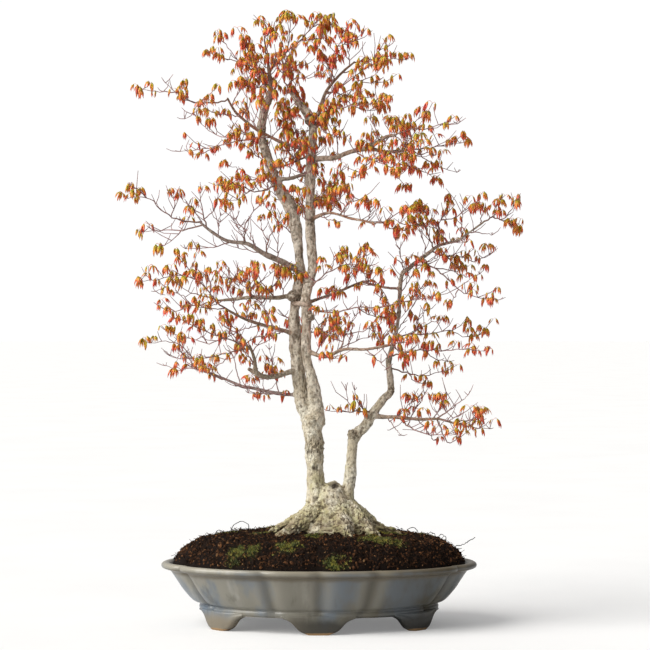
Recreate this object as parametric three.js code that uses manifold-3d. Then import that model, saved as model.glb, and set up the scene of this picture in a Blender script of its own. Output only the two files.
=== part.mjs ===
// Japanese maple bonsai in its lobed, glazed pot, with its new leaves just unfolding.
// Millimetres, +Z up. The origin is on the ground, under the middle of the whole plant.
import * as THREE from 'three';
import { mergeVertices } from 'three/addons/utils/BufferGeometryUtils.js';
import Module from 'manifold-3d';

const wasm = await Module();
wasm.setup();

// Pot
const POT_CENTRE_X = -9;
const RIM_HALF_WIDTH = 242;
const RIM_HALF_DEPTH = 152;
const RING_HALF_WIDTH = 181;
const RING_HALF_DEPTH = 125;
const RIM_TOP = 95;
const FLOOR_UNDERSIDE = 24;
const FLOOR_TOP = 40;
const FOOT_THICKNESS = 15;
const FOOT_BATTER = 3;
const FOOT_ROOT = 3;
const FOOT_STATIONS = [-1, -0.6, -0.22, 0.22, 0.6, 1];
const DRAIN_RADIUS = 15;
const DRAIN_SIDES = 12;
const DRAIN_OFFSET = 88;
const LOBE_FACET = 11;

// Soil and the nets over the drainage holes
const FIT_GAP = 0.4;
const SOIL_ROUGHNESS = 2;
const [LUMP_WIDTH, LUMP_DEPTH, LUMP_SKEW] = [17, 13, 31];
const SCREEN_SIDE = 46;
const SCREEN_THICKNESS = 1.6;
const SCREEN_BARS = 3;
const SCREEN_BAR = 3;

// Tree
const FOOT_SIDES = 9;
const TRUNK_SIDES = 6;
const LIMB_SIDES = 5;
const ROOT_SIDES = 5;
const SMOOTH_LUMP = 9;
const LUMP_MARGIN = 1.3;

// Twigs and leaves
const TWIG_TIP_RADIUS = 0.8;
const MAIN_TWIG_RADIUS = 1.7;
const SIDE_TWIG_RADIUS = 1.2;
const TWIG_LEAN = 0.5;
const DEPTH_SPREAD = 1.3;
const LEAF_LENGTH = 17;
const LEAF_LENGTH_SPREAD = 0.4;
const LEAF_THICKNESS = 1.5;
const LEAF_HUB = 0.2;
const LEAF_FOLD = 0.45;
const LEAF_DROOP = 0.55;
const LEAF_SPACING = 72;
const LEAFY_SHARE = 0.7;
const TIP_LEAVES = 2;
const LEAF_SEED = 11;
const SEED_STEP = 101;
const FIVE_LOBED_SHARE = 0.22;
const LEAF_TURN = 1.2;
const LEAF_TURN_SPREAD = 0.6;
const MOST_LEAN = 0.5;
const NODE_HALF = 1.1;
const NODE_ROOM = 7;
const BEND_ROOM = 4;
const OWN_ROOM = 0.3;
const OTHER_ROOM = 1.2;

const glaze = new THREE.MeshStandardMaterial({ color: 0x7d8186, roughness: 0.32, metalness: 0 });
const earth = new THREE.MeshStandardMaterial({ color: 0x3b2c22, roughness: 0.95, metalness: 0 });
const netPlastic = new THREE.MeshStandardMaterial({ color: 0x1f2220, roughness: 0.6, metalness: 0 });
const bark = new THREE.MeshStandardMaterial({ color: 0xa39a80, roughness: 0.85, metalness: 0 });
const leafRed = new THREE.MeshStandardMaterial({ color: 0xc8603a, roughness: 0.6, metalness: 0 });
const leafGold = new THREE.MeshStandardMaterial({ color: 0xb98a32, roughness: 0.6, metalness: 0 });

// A closed three.js geometry as a solid, with its faces turned outwards
function solidOf(geometry) {
  geometry.deleteAttribute('normal');
  geometry.deleteAttribute('uv');
  const merged = mergeVertices(geometry, 1e-4);
  const place = merged.attributes.position;
  const index = merged.index.array;
  const [a, b, c] = [new THREE.Vector3(), new THREE.Vector3(), new THREE.Vector3()];
  const corners = [];
  let volume = 0;
  for (let i = 0; i < index.length; i += 3) {
    const [p, q, r] = [index[i], index[i + 1], index[i + 2]];
    const isFlat = p === q || q === r || r === p;
    if (!isFlat) {
      corners.push(p, q, r);
      a.fromBufferAttribute(place, p);
      b.fromBufferAttribute(place, q);
      c.fromBufferAttribute(place, r);
      volume += a.dot(b.cross(c));
    }
  }
  if (volume < 0) corners.reverse();
  const vertProperties = new Float32Array(place.array);
  return new wasm.Manifold(new wasm.Mesh({ numProp: 3, vertProperties, triVerts: new Uint32Array(corners) }));
}

function meshOf(name, solid, material) {
  const { vertProperties, triVerts } = solid.getMesh();
  const geometry = new THREE.BufferGeometry();
  geometry.setAttribute('position', new THREE.BufferAttribute(vertProperties, 3));
  geometry.setIndex(new THREE.BufferAttribute(triVerts, 1));
  geometry.computeVertexNormals();
  const mesh = new THREE.Mesh(geometry, material);
  mesh.name = name;
  return mesh;
}

// Repeatable draws between 0 and 1
function drawsFrom(seed) {
  let state = seed;
  return () => {
    state = (state * 48271) % 2147483647;
    return state / 2147483647;
  };
}

// The value at x on straight lines through [x, value] pairs that rise in x
function along(pairs, x) {
  const after = Math.max(1, pairs.findIndex((pair) => pair[0] >= x));
  const [[x0, v0], [x1, v1]] = [pairs[after - 1], pairs[after]];
  return v0 + ((v1 - v0) * (x - x0)) / (x1 - x0);
}

// Plan of the pot: an oval of ten shallow lobes, two at the ends and four on each long side.
// Lobes meet at these angles, in degrees from the right end, with a sharper notch at the four corners.
const CORNER_NOTCH = 0.036;
const SIDE_NOTCH = 0.013;
const HALF = [
  [26, CORNER_NOTCH], [69, SIDE_NOTCH], [90, SIDE_NOTCH], [111, SIDE_NOTCH], [154, CORNER_NOTCH],
];
const NOTCHES = [...HALF, ...HALF.map(([angle, depth]) => [angle + 180, depth])];

function planSamples() {
  const samples = [];
  NOTCHES.forEach(([start, startDepth], i) => {
    const [next, endDepth] = NOTCHES[(i + 1) % NOTCHES.length];
    const span = (next - start + 360) % 360;
    const steps = Math.ceil(span / LOBE_FACET);
    for (let step = 0; step < steps; step += 1) {
      const share = step / steps;
      const dipFromStart = startDepth * (1 - Math.sin(share * Math.PI * 0.5));
      const dipToEnd = endDepth * (1 - Math.sin((1 - share) * Math.PI * 0.5));
      const angle = THREE.MathUtils.degToRad(start + span * share);
      samples.push({ angle, reach: 1 - dipFromStart - dipToEnd });
    }
  });
  return samples;
}

const PLAN = planSamples();

// The pot flares more at its ends than at its sides, so depth follows width by its own slope
const DEPTH_SLOPE = (RIM_HALF_DEPTH - RING_HALF_DEPTH) / (RIM_HALF_WIDTH - RING_HALF_WIDTH);
const FLARE_START = 165;

function halfDepth(halfWidth) {
  const flared = (width) => RIM_HALF_DEPTH - DEPTH_SLOPE * (RIM_HALF_WIDTH - width);
  if (halfWidth > FLARE_START) return flared(halfWidth);
  return (halfWidth * flared(FLARE_START)) / FLARE_START;
}

// A turned profile of [half width, height] pairs, from axis to axis, pulled out to the pot's plan
function lobedSolid(profile, lift = () => 0) {
  const lathe = new THREE.LatheGeometry(profile.map(([w, z]) => new THREE.Vector2(w, z)), PLAN.length);
  const place = lathe.attributes.position;
  for (let i = 0; i < place.count; i += 1) {
    const { angle, reach } = PLAN[Math.floor(i / profile.length) % PLAN.length];
    const [width, height] = profile[i % profile.length];
    const x = width * reach * Math.cos(angle);
    const y = halfDepth(width) * reach * Math.sin(angle);
    place.setXYZ(i, POT_CENTRE_X + x, y, height + lift(x, y, height));
  }
  return solidOf(lathe);
}

const OUTER_WALL = [
  [0, FLOOR_UNDERSIDE], [178, FLOOR_UNDERSIDE], [183, 27], [183, 31], [181, 33], [194, 39], [208, 54],
  [226, 80], [231, 83], [RIM_HALF_WIDTH - 1, 86], [RIM_HALF_WIDTH - 1, 92], [235, RIM_TOP], [0, RIM_TOP],
];
const INNER_WALL = [[176, FLOOR_TOP], [210, 74], [227, RIM_TOP]];

// Feet hang under the base ring: one at each corner and one in the middle of each long side.
// Each is [angle round the pot, angle from its middle to its end].
const FEET = [[33, 19], [90, 18], [147, 19], [213, 19], [270, 18], [327, 19]];

// How high a foot's lower edge is, by the share of the way from its middle to its end
function footEdge(share) {
  return (FLOOR_UNDERSIDE + 0.5) * THREE.MathUtils.smoothstep(share, FOOT_STATIONS[3], 1);
}

function foot([middle, reach]) {
  const steps = FOOT_STATIONS.length - 1;
  const block = new THREE.BoxGeometry(1, 1, 1, steps, 1, 1);
  const place = block.attributes.position;
  for (let i = 0; i < place.count; i += 1) {
    const side = FOOT_STATIONS[Math.round((place.getX(i) + 0.5) * steps)];
    const angle = THREE.MathUtils.degToRad(middle + side * reach);
    const isOuter = place.getY(i) > 0;
    const isTop = place.getZ(i) > 0;
    const batter = isTop ? 0 : FOOT_BATTER;
    const width = isOuter ? RING_HALF_WIDTH - batter : RING_HALF_WIDTH - FOOT_THICKNESS;
    const z = isTop ? FLOOR_UNDERSIDE + FOOT_ROOT : footEdge(Math.abs(side));
    place.setXYZ(i, POT_CENTRE_X + width * Math.cos(angle), halfDepth(width) * Math.sin(angle), z);
  }
  return solidOf(block);
}

function drains(radius) {
  return [-DRAIN_OFFSET, DRAIN_OFFSET].map((offset) => {
    const hole = new THREE.CylinderGeometry(radius, radius, 3 * FLOOR_TOP, DRAIN_SIDES);
    hole.rotateX(Math.PI / 2);
    hole.translate(POT_CENTRE_X + offset, 0, 0);
    return solidOf(hole);
  });
}

function makePot() {
  const innerTop = INNER_WALL[INNER_WALL.length - 1];
  const cavity = [[0, FLOOR_TOP], ...INNER_WALL, [innerTop[0] + 8, innerTop[1] + 10], [0, innerTop[1] + 10]];
  const body = lobedSolid(OUTER_WALL).subtract(lobedSolid(cavity));
  return wasm.Manifold.union([body, ...FEET.map(foot)]).subtract(wasm.Manifold.union(drains(DRAIN_RADIUS)));
}

// A square net of crossing bars over each drainage hole, on the pot's floor
function drainScreen(offset) {
  const pitch = (SCREEN_SIDE - SCREEN_BAR) / (SCREEN_BARS - 1);
  const bars = [];
  for (let i = 0; i < SCREEN_BARS; i += 1) {
    const shift = i * pitch - (SCREEN_SIDE - SCREEN_BAR) / 2;
    bars.push(new THREE.BoxGeometry(SCREEN_SIDE, SCREEN_BAR, SCREEN_THICKNESS).translate(0, shift, 0));
    bars.push(new THREE.BoxGeometry(SCREEN_BAR, SCREEN_SIDE, SCREEN_THICKNESS).translate(shift, 0, 0));
  }
  const height = FLOOR_TOP + FIT_GAP + SCREEN_THICKNESS / 2;
  return wasm.Manifold.union(bars.map((bar) => solidOf(bar.translate(POT_CENTRE_X + offset, 0, height))));
}

// The pocket that the soil leaves round a net
function screenPocket(offset) {
  const side = SCREEN_SIDE + 2 * FIT_GAP;
  const pocket = new THREE.BoxGeometry(side, side, SCREEN_THICKNESS + 2 * FIT_GAP);
  return solidOf(pocket.translate(POT_CENTRE_X + offset, 0, FLOOR_TOP + FIT_GAP + SCREEN_THICKNESS / 2));
}

// Soil fills the pot and rises in a mound that is steep at the rim and nearly level round the tree
const SOIL_EDGE = 92;
const MOUND = [[221, 98], [211, 111], [184, 127], [152, 134], [85, 140], [0, 142]];

function soilSide() {
  const heights = INNER_WALL.map((pair) => [pair[1], pair[0]]);
  const levels = [...INNER_WALL.slice(0, -1).map((pair) => pair[1]), SOIL_EDGE];
  return levels.map((z) => [along(heights, z) - FIT_GAP, Math.max(z, FLOOR_TOP + FIT_GAP)]);
}

// Low lumps in the mound, from two crossing waves
function lumps(x, y, height) {
  if (height < SOIL_EDGE + 1) return 0;
  return SOIL_ROUGHNESS * Math.sin(x / LUMP_WIDTH + 1.3) * Math.cos(y / LUMP_DEPTH + x / LUMP_SKEW);
}

function makeSoil(treeHollow) {
  const profile = [[0, FLOOR_TOP + FIT_GAP], ...soilSide(), ...MOUND];
  const pockets = [-DRAIN_OFFSET, DRAIN_OFFSET].map(screenPocket);
  return lobedSolid(profile, lumps).subtract(wasm.Manifold.union([treeHollow, ...pockets]));
}

// Sections along a smooth curve, turned as little as possible from one to the next
function sectionsAlong(curve, steps) {
  const sections = [];
  const start = curve.getTangent(0);
  let across = Math.abs(start.y) > 0.8 ? new THREE.Vector3(1, 0, 0) : new THREE.Vector3(0, 1, 0);
  for (let step = 0; step <= steps; step += 1) {
    const forward = curve.getTangent(step / steps);
    across = across.clone().addScaledVector(forward, -across.dot(forward)).normalize();
    const over = forward.clone().cross(across);
    sections.push({ centre: curve.getPoint(step / steps), forward, across, over });
  }
  return sections;
}

// A limb, root or twig: a cylinder bent along a smooth curve through its stations, each [x, y, z, radius].
// With a margin it is the room that the limb takes up, margin wider all round.
function limb(stations, sides, margin = 0) {
  const curve = new THREE.CatmullRomCurve3(stations.map(([x, y, z]) => new THREE.Vector3(x, y, z)));
  const steps = stations.length - 1;
  const sections = sectionsAlong(curve, steps);
  const tube = new THREE.CylinderGeometry(1, 1, 1, sides, steps);
  const place = tube.attributes.position;
  const point = new THREE.Vector3();
  for (let i = 0; i < place.count; i += 1) {
    const step = Math.round((0.5 - place.getY(i)) * steps);
    const { centre, forward, across, over } = sections[step];
    const radius = stations[step][3] + margin / Math.cos(Math.PI / sides);
    const past = (step === steps ? margin : 0) - (step === 0 ? margin : 0);
    point.copy(centre).addScaledVector(forward, past);
    point.addScaledVector(across, place.getX(i) * radius).addScaledVector(over, place.getZ(i) * radius);
    place.setXYZ(i, point.x, point.y, point.z);
  }
  return solidOf(tube);
}

// The tree's woody frame. Every station is [x, y, z, radius]; -y is towards the viewer.
// The flare at the foot of the tree: the short trunk that the two tall trunks share, the broad crown of the
// roots under it, and the roots that run out of the crown as ridges
const FLARE = {
  sharedTrunk: [
    [2, 0, 118, 38], [0, 0, 140, 34], [-5, 0, 164, 25], [-12, 0, 194, 16.5], [-14, 0, 217, 13.5],
    [-16, 0, 246, 13], [-16, 0, 269, 13.8], [-17, 0, 291, 14], [-18, 0, 307, 15.5], [-18, 0, 317, 11],
  ],
  rootCrown: [
    [12, -3, 112, 80], [12, -3, 134, 64], [12, -3, 148, 51], [12, -2, 164, 39], [11, -2, 182, 29],
    [11, -2, 196, 22], [13, -2, 207, 15], [14, -2, 213, 8],
  ],
  leftRoot: [
    [-14, -4, 174, 15], [-34, -8, 160, 13], [-52, -12, 150, 10.5], [-68, -16, 143, 8.5],
    [-84, -20, 134, 6.5], [-98, -24, 122, 4],
  ],
  leftFrontRoot: [
    [-10, -14, 176, 15], [-28, -28, 158, 14], [-46, -42, 146, 12], [-62, -56, 137, 9.5],
    [-78, -70, 126, 7], [-90, -80, 114, 4.5],
  ],
  frontRoot: [
    [18, -14, 176, 14], [24, -32, 160, 14], [30, -50, 145, 12.5], [34, -66, 132, 9.5], [36, -80, 118, 6],
  ],
  rightFrontRoot: [
    [34, -8, 178, 13], [50, -24, 160, 12], [64, -40, 146, 10], [76, -54, 134, 7.5], [86, -68, 120, 4.5],
  ],
  rightRoot: [
    [36, 0, 180, 12], [52, 0, 165, 12], [70, -2, 151, 10], [88, -4, 142, 8], [106, -6, 136, 6],
    [122, -8, 124, 4],
  ],
  backLeftRoot: [
    [-12, 12, 176, 14], [-30, 28, 157, 12], [-46, 44, 145, 10], [-62, 60, 134, 7.5], [-76, 74, 120, 4.5],
  ],
  backRoot: [[8, 14, 176, 14], [14, 34, 157, 12], [20, 52, 144, 10], [24, 70, 132, 7.5], [28, 86, 118, 4.5]],
  backRightRoot: [
    [32, 10, 178, 13], [50, 26, 158, 11], [66, 42, 145, 9.5], [82, 56, 134, 7], [96, 68, 120, 4.5],
  ],
};

const TRUNKS = {
  leftTrunk: [
    [-18, 2, 288, 12], [-33, 5, 329, 12], [-37, 7, 351, 11], [-43, 9, 411, 10.5],
    [-45, 9, 441, 9], [-46, 10, 471, 7.5], [-41, 10, 501, 9], [-36, 10, 524, 8], [-38, 10, 543, 6.8],
    [-42, 9, 579, 8], [-45, 8, 599, 9.3], [-49, 8, 621, 9.8], [-58, 8, 636, 9],
    [-67, 7, 651, 8.5], [-81, 5, 681, 7.8], [-85, 5, 696, 7],
    [-94, 6, 726, 6.8], [-96, 6, 744, 6.9], [-94, 7, 759, 6.6], [-91, 8, 774, 6.4], [-85, 9, 789, 6],
    [-82, 9, 804, 3.8], [-84, 10, 831, 3], [-88, 10, 858, 1.8],
  ],
  middleTrunk: [
    [-10, -2, 299, 11], [-13, -6, 329, 10.8], [-20, -7, 369, 8.7], [-25, -8, 389, 6.8],
    [-28, -8, 411, 7.2], [-28, -8, 441, 7.5], [-28, -8, 486, 7.5], [-25, -8, 509, 8.2],
    [-20, -8, 528, 7.2], [-19, -8, 546, 7.4], [-22, -8, 591, 7.5], [-23, -8, 614, 7.5],
    [-22, -8, 636, 7], [-22, -7, 659, 8], [-22, -6, 681, 6.9], [-21, -6, 704, 7.5],
    [-18, -5, 741, 6.3], [-22, -4, 756, 7.4], [-28, -3, 768, 6.4], [-37, -2, 779, 5.6], [-45, -2, 789, 4.5],
    [-55, -1, 804, 2.6],
  ],
  rightTrunk: [
    [24, 0, 130, 26], [29, 0, 170, 17], [34, 0, 198, 9.8], [37, 0, 216, 9], [39, 0, 239, 8.4],
    [40, 0, 261, 8.1], [42, 1, 276, 8.4], [49, 2, 287, 8.3], [60, 3, 297, 8.3], [69, 5, 312, 7.5],
    [88, 6, 338, 6], [99, 7, 350, 5.3], [97, 8, 378, 4.8],
    [96, 8, 396, 4.8], [100, 8, 411, 3.8], [108, 9, 444, 3.4], [111, 10, 468, 3],
    [115, 13, 522, 3.4], [126, 14, 534, 3.6], [139, 14, 545, 3.3],
    [157, 13, 558, 3], [172, 12, 569, 2.6], [199, 8, 576, 2.2], [211, 6, 584, 2],
    [232, 4, 599, 1.8], [241, 3, 606, 1.6],
  ],
};

const BRANCHES = {
  crossingBranch: [
    [-22, -8, 711, 3.6], [-42, -12, 715, 3.1], [-63, -14, 721, 2.8], [-84, -17, 731, 2.7],
    [-104, -22, 742, 2.6], [-124, -28, 757, 2.4], [-135, -33, 768, 2.1], [-145, -38, 786, 1.8],
  ],
  highLeftBranch: [
    [-40, 10, 531, 6.4], [-52, 4, 537, 5.2], [-67, -4, 545, 4.6], [-94, -14, 557, 4], [-115, -22, 570, 3.4],
    [-145, -30, 574, 2.9], [-169, -36, 588, 2.5], [-187, -42, 603, 2.1],
  ],
  burlBranch: [
    [-46, 10, 492, 5], [-60, 16, 492, 3.8], [-75, 22, 490, 3.3], [-112, 34, 491, 3.2], [-139, 44, 488, 2.8],
    [-168, 52, 486, 2.1],
  ],
  swayingBranch: [
    [-45, 8, 434, 4.2], [-60, 0, 440, 3.2], [-78, -8, 445, 2.8], [-112, -20, 455, 2.5], [-139, -30, 468, 2.2],
    [-154, -36, 478, 1.8],
  ],
  hookedBranch: [
    [-42, 5, 381, 5.6], [-58, -4, 377, 4.2], [-75, -14, 372, 3.7], [-90, -22, 372, 3.8],
    [-102, -30, 378, 3.5], [-104, -34, 394, 2.9], [-107, -38, 406, 2.5], [-112, -44, 419, 2.1],
  ],
  hookedStub: [[-98, -28, 376, 3.6], [-107, -30, 380, 3.4], [-114, -33, 384, 2.8]],
  lowLeftBranch: [
    [-34, 6, 344, 4.4], [-51, 12, 344, 3.2], [-79, 22, 347, 2.9], [-112, 32, 354, 2.8], [-126, 36, 356, 2.7],
    [-150, 44, 366, 2.2], [-180, 54, 378, 1.8],
  ],
  topRightBranch: [
    [-20, -4, 756, 4.2], [-9, -2, 768, 3.3], [1, 2, 798, 2.7], [22, 8, 825, 2.2], [45, 14, 846, 1.8],
  ],
  highRightBranch: [
    [-21, -7, 697, 5], [0, -12, 698, 4.3], [15, -16, 699, 3.9], [37, -22, 707, 3.7], [66, -30, 714, 3.9],
    [90, -38, 728, 2.8], [105, -42, 730, 2.2],
  ],
  highRightFork: [[66, -30, 712, 3.3], [90, -14, 708, 2.8], [112, -4, 710, 2.4], [130, 4, 713, 1.9]],
  frontRightBranch: [
    [-22, -8, 605, 4.2], [-16, -14, 609, 3.2], [7, -28, 616, 2.4], [37, -46, 607, 2.2], [56, -56, 603, 2],
    [75, -66, 598, 1.8],
  ],
  backRightBranch: [
    [-26, -6, 480, 4], [-16, 0, 486, 3], [15, 14, 497, 2.5], [45, 28, 510, 2.3], [60, 34, 515, 2.1],
    [75, 40, 516, 1.8],
  ],
  naturalGraft: [[58, 33, 514, 2.4], [80, 28, 508, 2.3], [95, 20, 505, 2.2], [110, 12, 504, 2.1]],
  lowRightBranch: [
    [-28, -8, 412, 4.8], [-21, -14, 408, 3.9], [1, -28, 402, 3.3], [28, -40, 413, 2.8], [60, -54, 413, 2.5],
    [97, -66, 420, 2.3],
  ],
  paleBand: [[-47, 6, 480, 3.2], [-40, -8, 481, 3.6], [-28, -16, 480, 3.6], [-19, -11, 477, 3.2]],
  upperLink: [[-72, 6, 668, 4], [-52, 0, 669, 3.1], [-35, -4, 674, 3.1], [-22, -6, 676, 4]],
  slimLink: [[-66, 7, 652, 2.3], [-50, 4, 650, 1.9], [-35, -2, 653, 1.9], [-22, -6, 656, 2.3]],
  highLink: [[-83, 5, 688, 2.2], [-65, 2, 687, 1.8], [-45, 0, 694, 1.8], [-24, -5, 703, 2.2]],
  lowFarBranch: [
    [72, 6, 313, 4.6], [88, 2, 311, 3.4], [105, -4, 311, 2.9], [142, -14, 308, 2.5], [169, -24, 309, 2.3],
    [195, -32, 302, 1.8],
  ],
};

// Burls and knots, each [x, y, z, radius]
const BURLS = [
  [-48, 3, 492, 10], [-21.5, -11, 461, 6.5], [41, -1, 285, 8], [-23, -9, 755, 7.5], [68, -31, 715, 5.5],
];

// Old wounds: a hollow in the crotch, a small hole low on the trunk and a scar above it
const HOLLOWS = [[16, -18, 209, 7], [-15, -20, 191, 4], [-13, -14, 236, 3.5]];

const THICK_PARTS = ['sharedTrunk', 'rootCrown'];

function flareLimbs(margin) {
  return Object.entries(FLARE).map(([name, stations]) => (
    limb(stations, THICK_PARTS.includes(name) ? FOOT_SIDES : ROOT_SIDES, margin)
  ));
}

function woodyFrame(margin) {
  const flare = flareLimbs(margin);
  const trunks = Object.values(TRUNKS).map((stations) => limb(stations, TRUNK_SIDES, margin));
  const branches = Object.values(BRANCHES).map((stations) => limb(stations, LIMB_SIDES, margin));
  const burls = BURLS.map((burl) => lump(burl, margin));
  return wasm.Manifold.union([...flare, ...trunks, ...branches, ...burls]);
}

// A faceted ball. Its flats lie nearer its middle than its corners do, so it needs a wider margin.
function lump([x, y, z, radius], margin = 0) {
  const ball = new THREE.IcosahedronGeometry(radius + margin * LUMP_MARGIN, radius > SMOOTH_LUMP ? 1 : 0);
  ball.translate(x, y, z);
  return solidOf(ball);
}

function makeTree() {
  return woodyFrame(0).subtract(wasm.Manifold.union(HOLLOWS.map((hollow) => lump(hollow))));
}

// The hole in the soil that the foot of the tree stands in
function treeHollow() {
  return wasm.Manifold.union([...flareLimbs(FIT_GAP), limb(TRUNKS.rightTrunk, TRUNK_SIDES, FIT_GAP)]);
}

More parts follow.
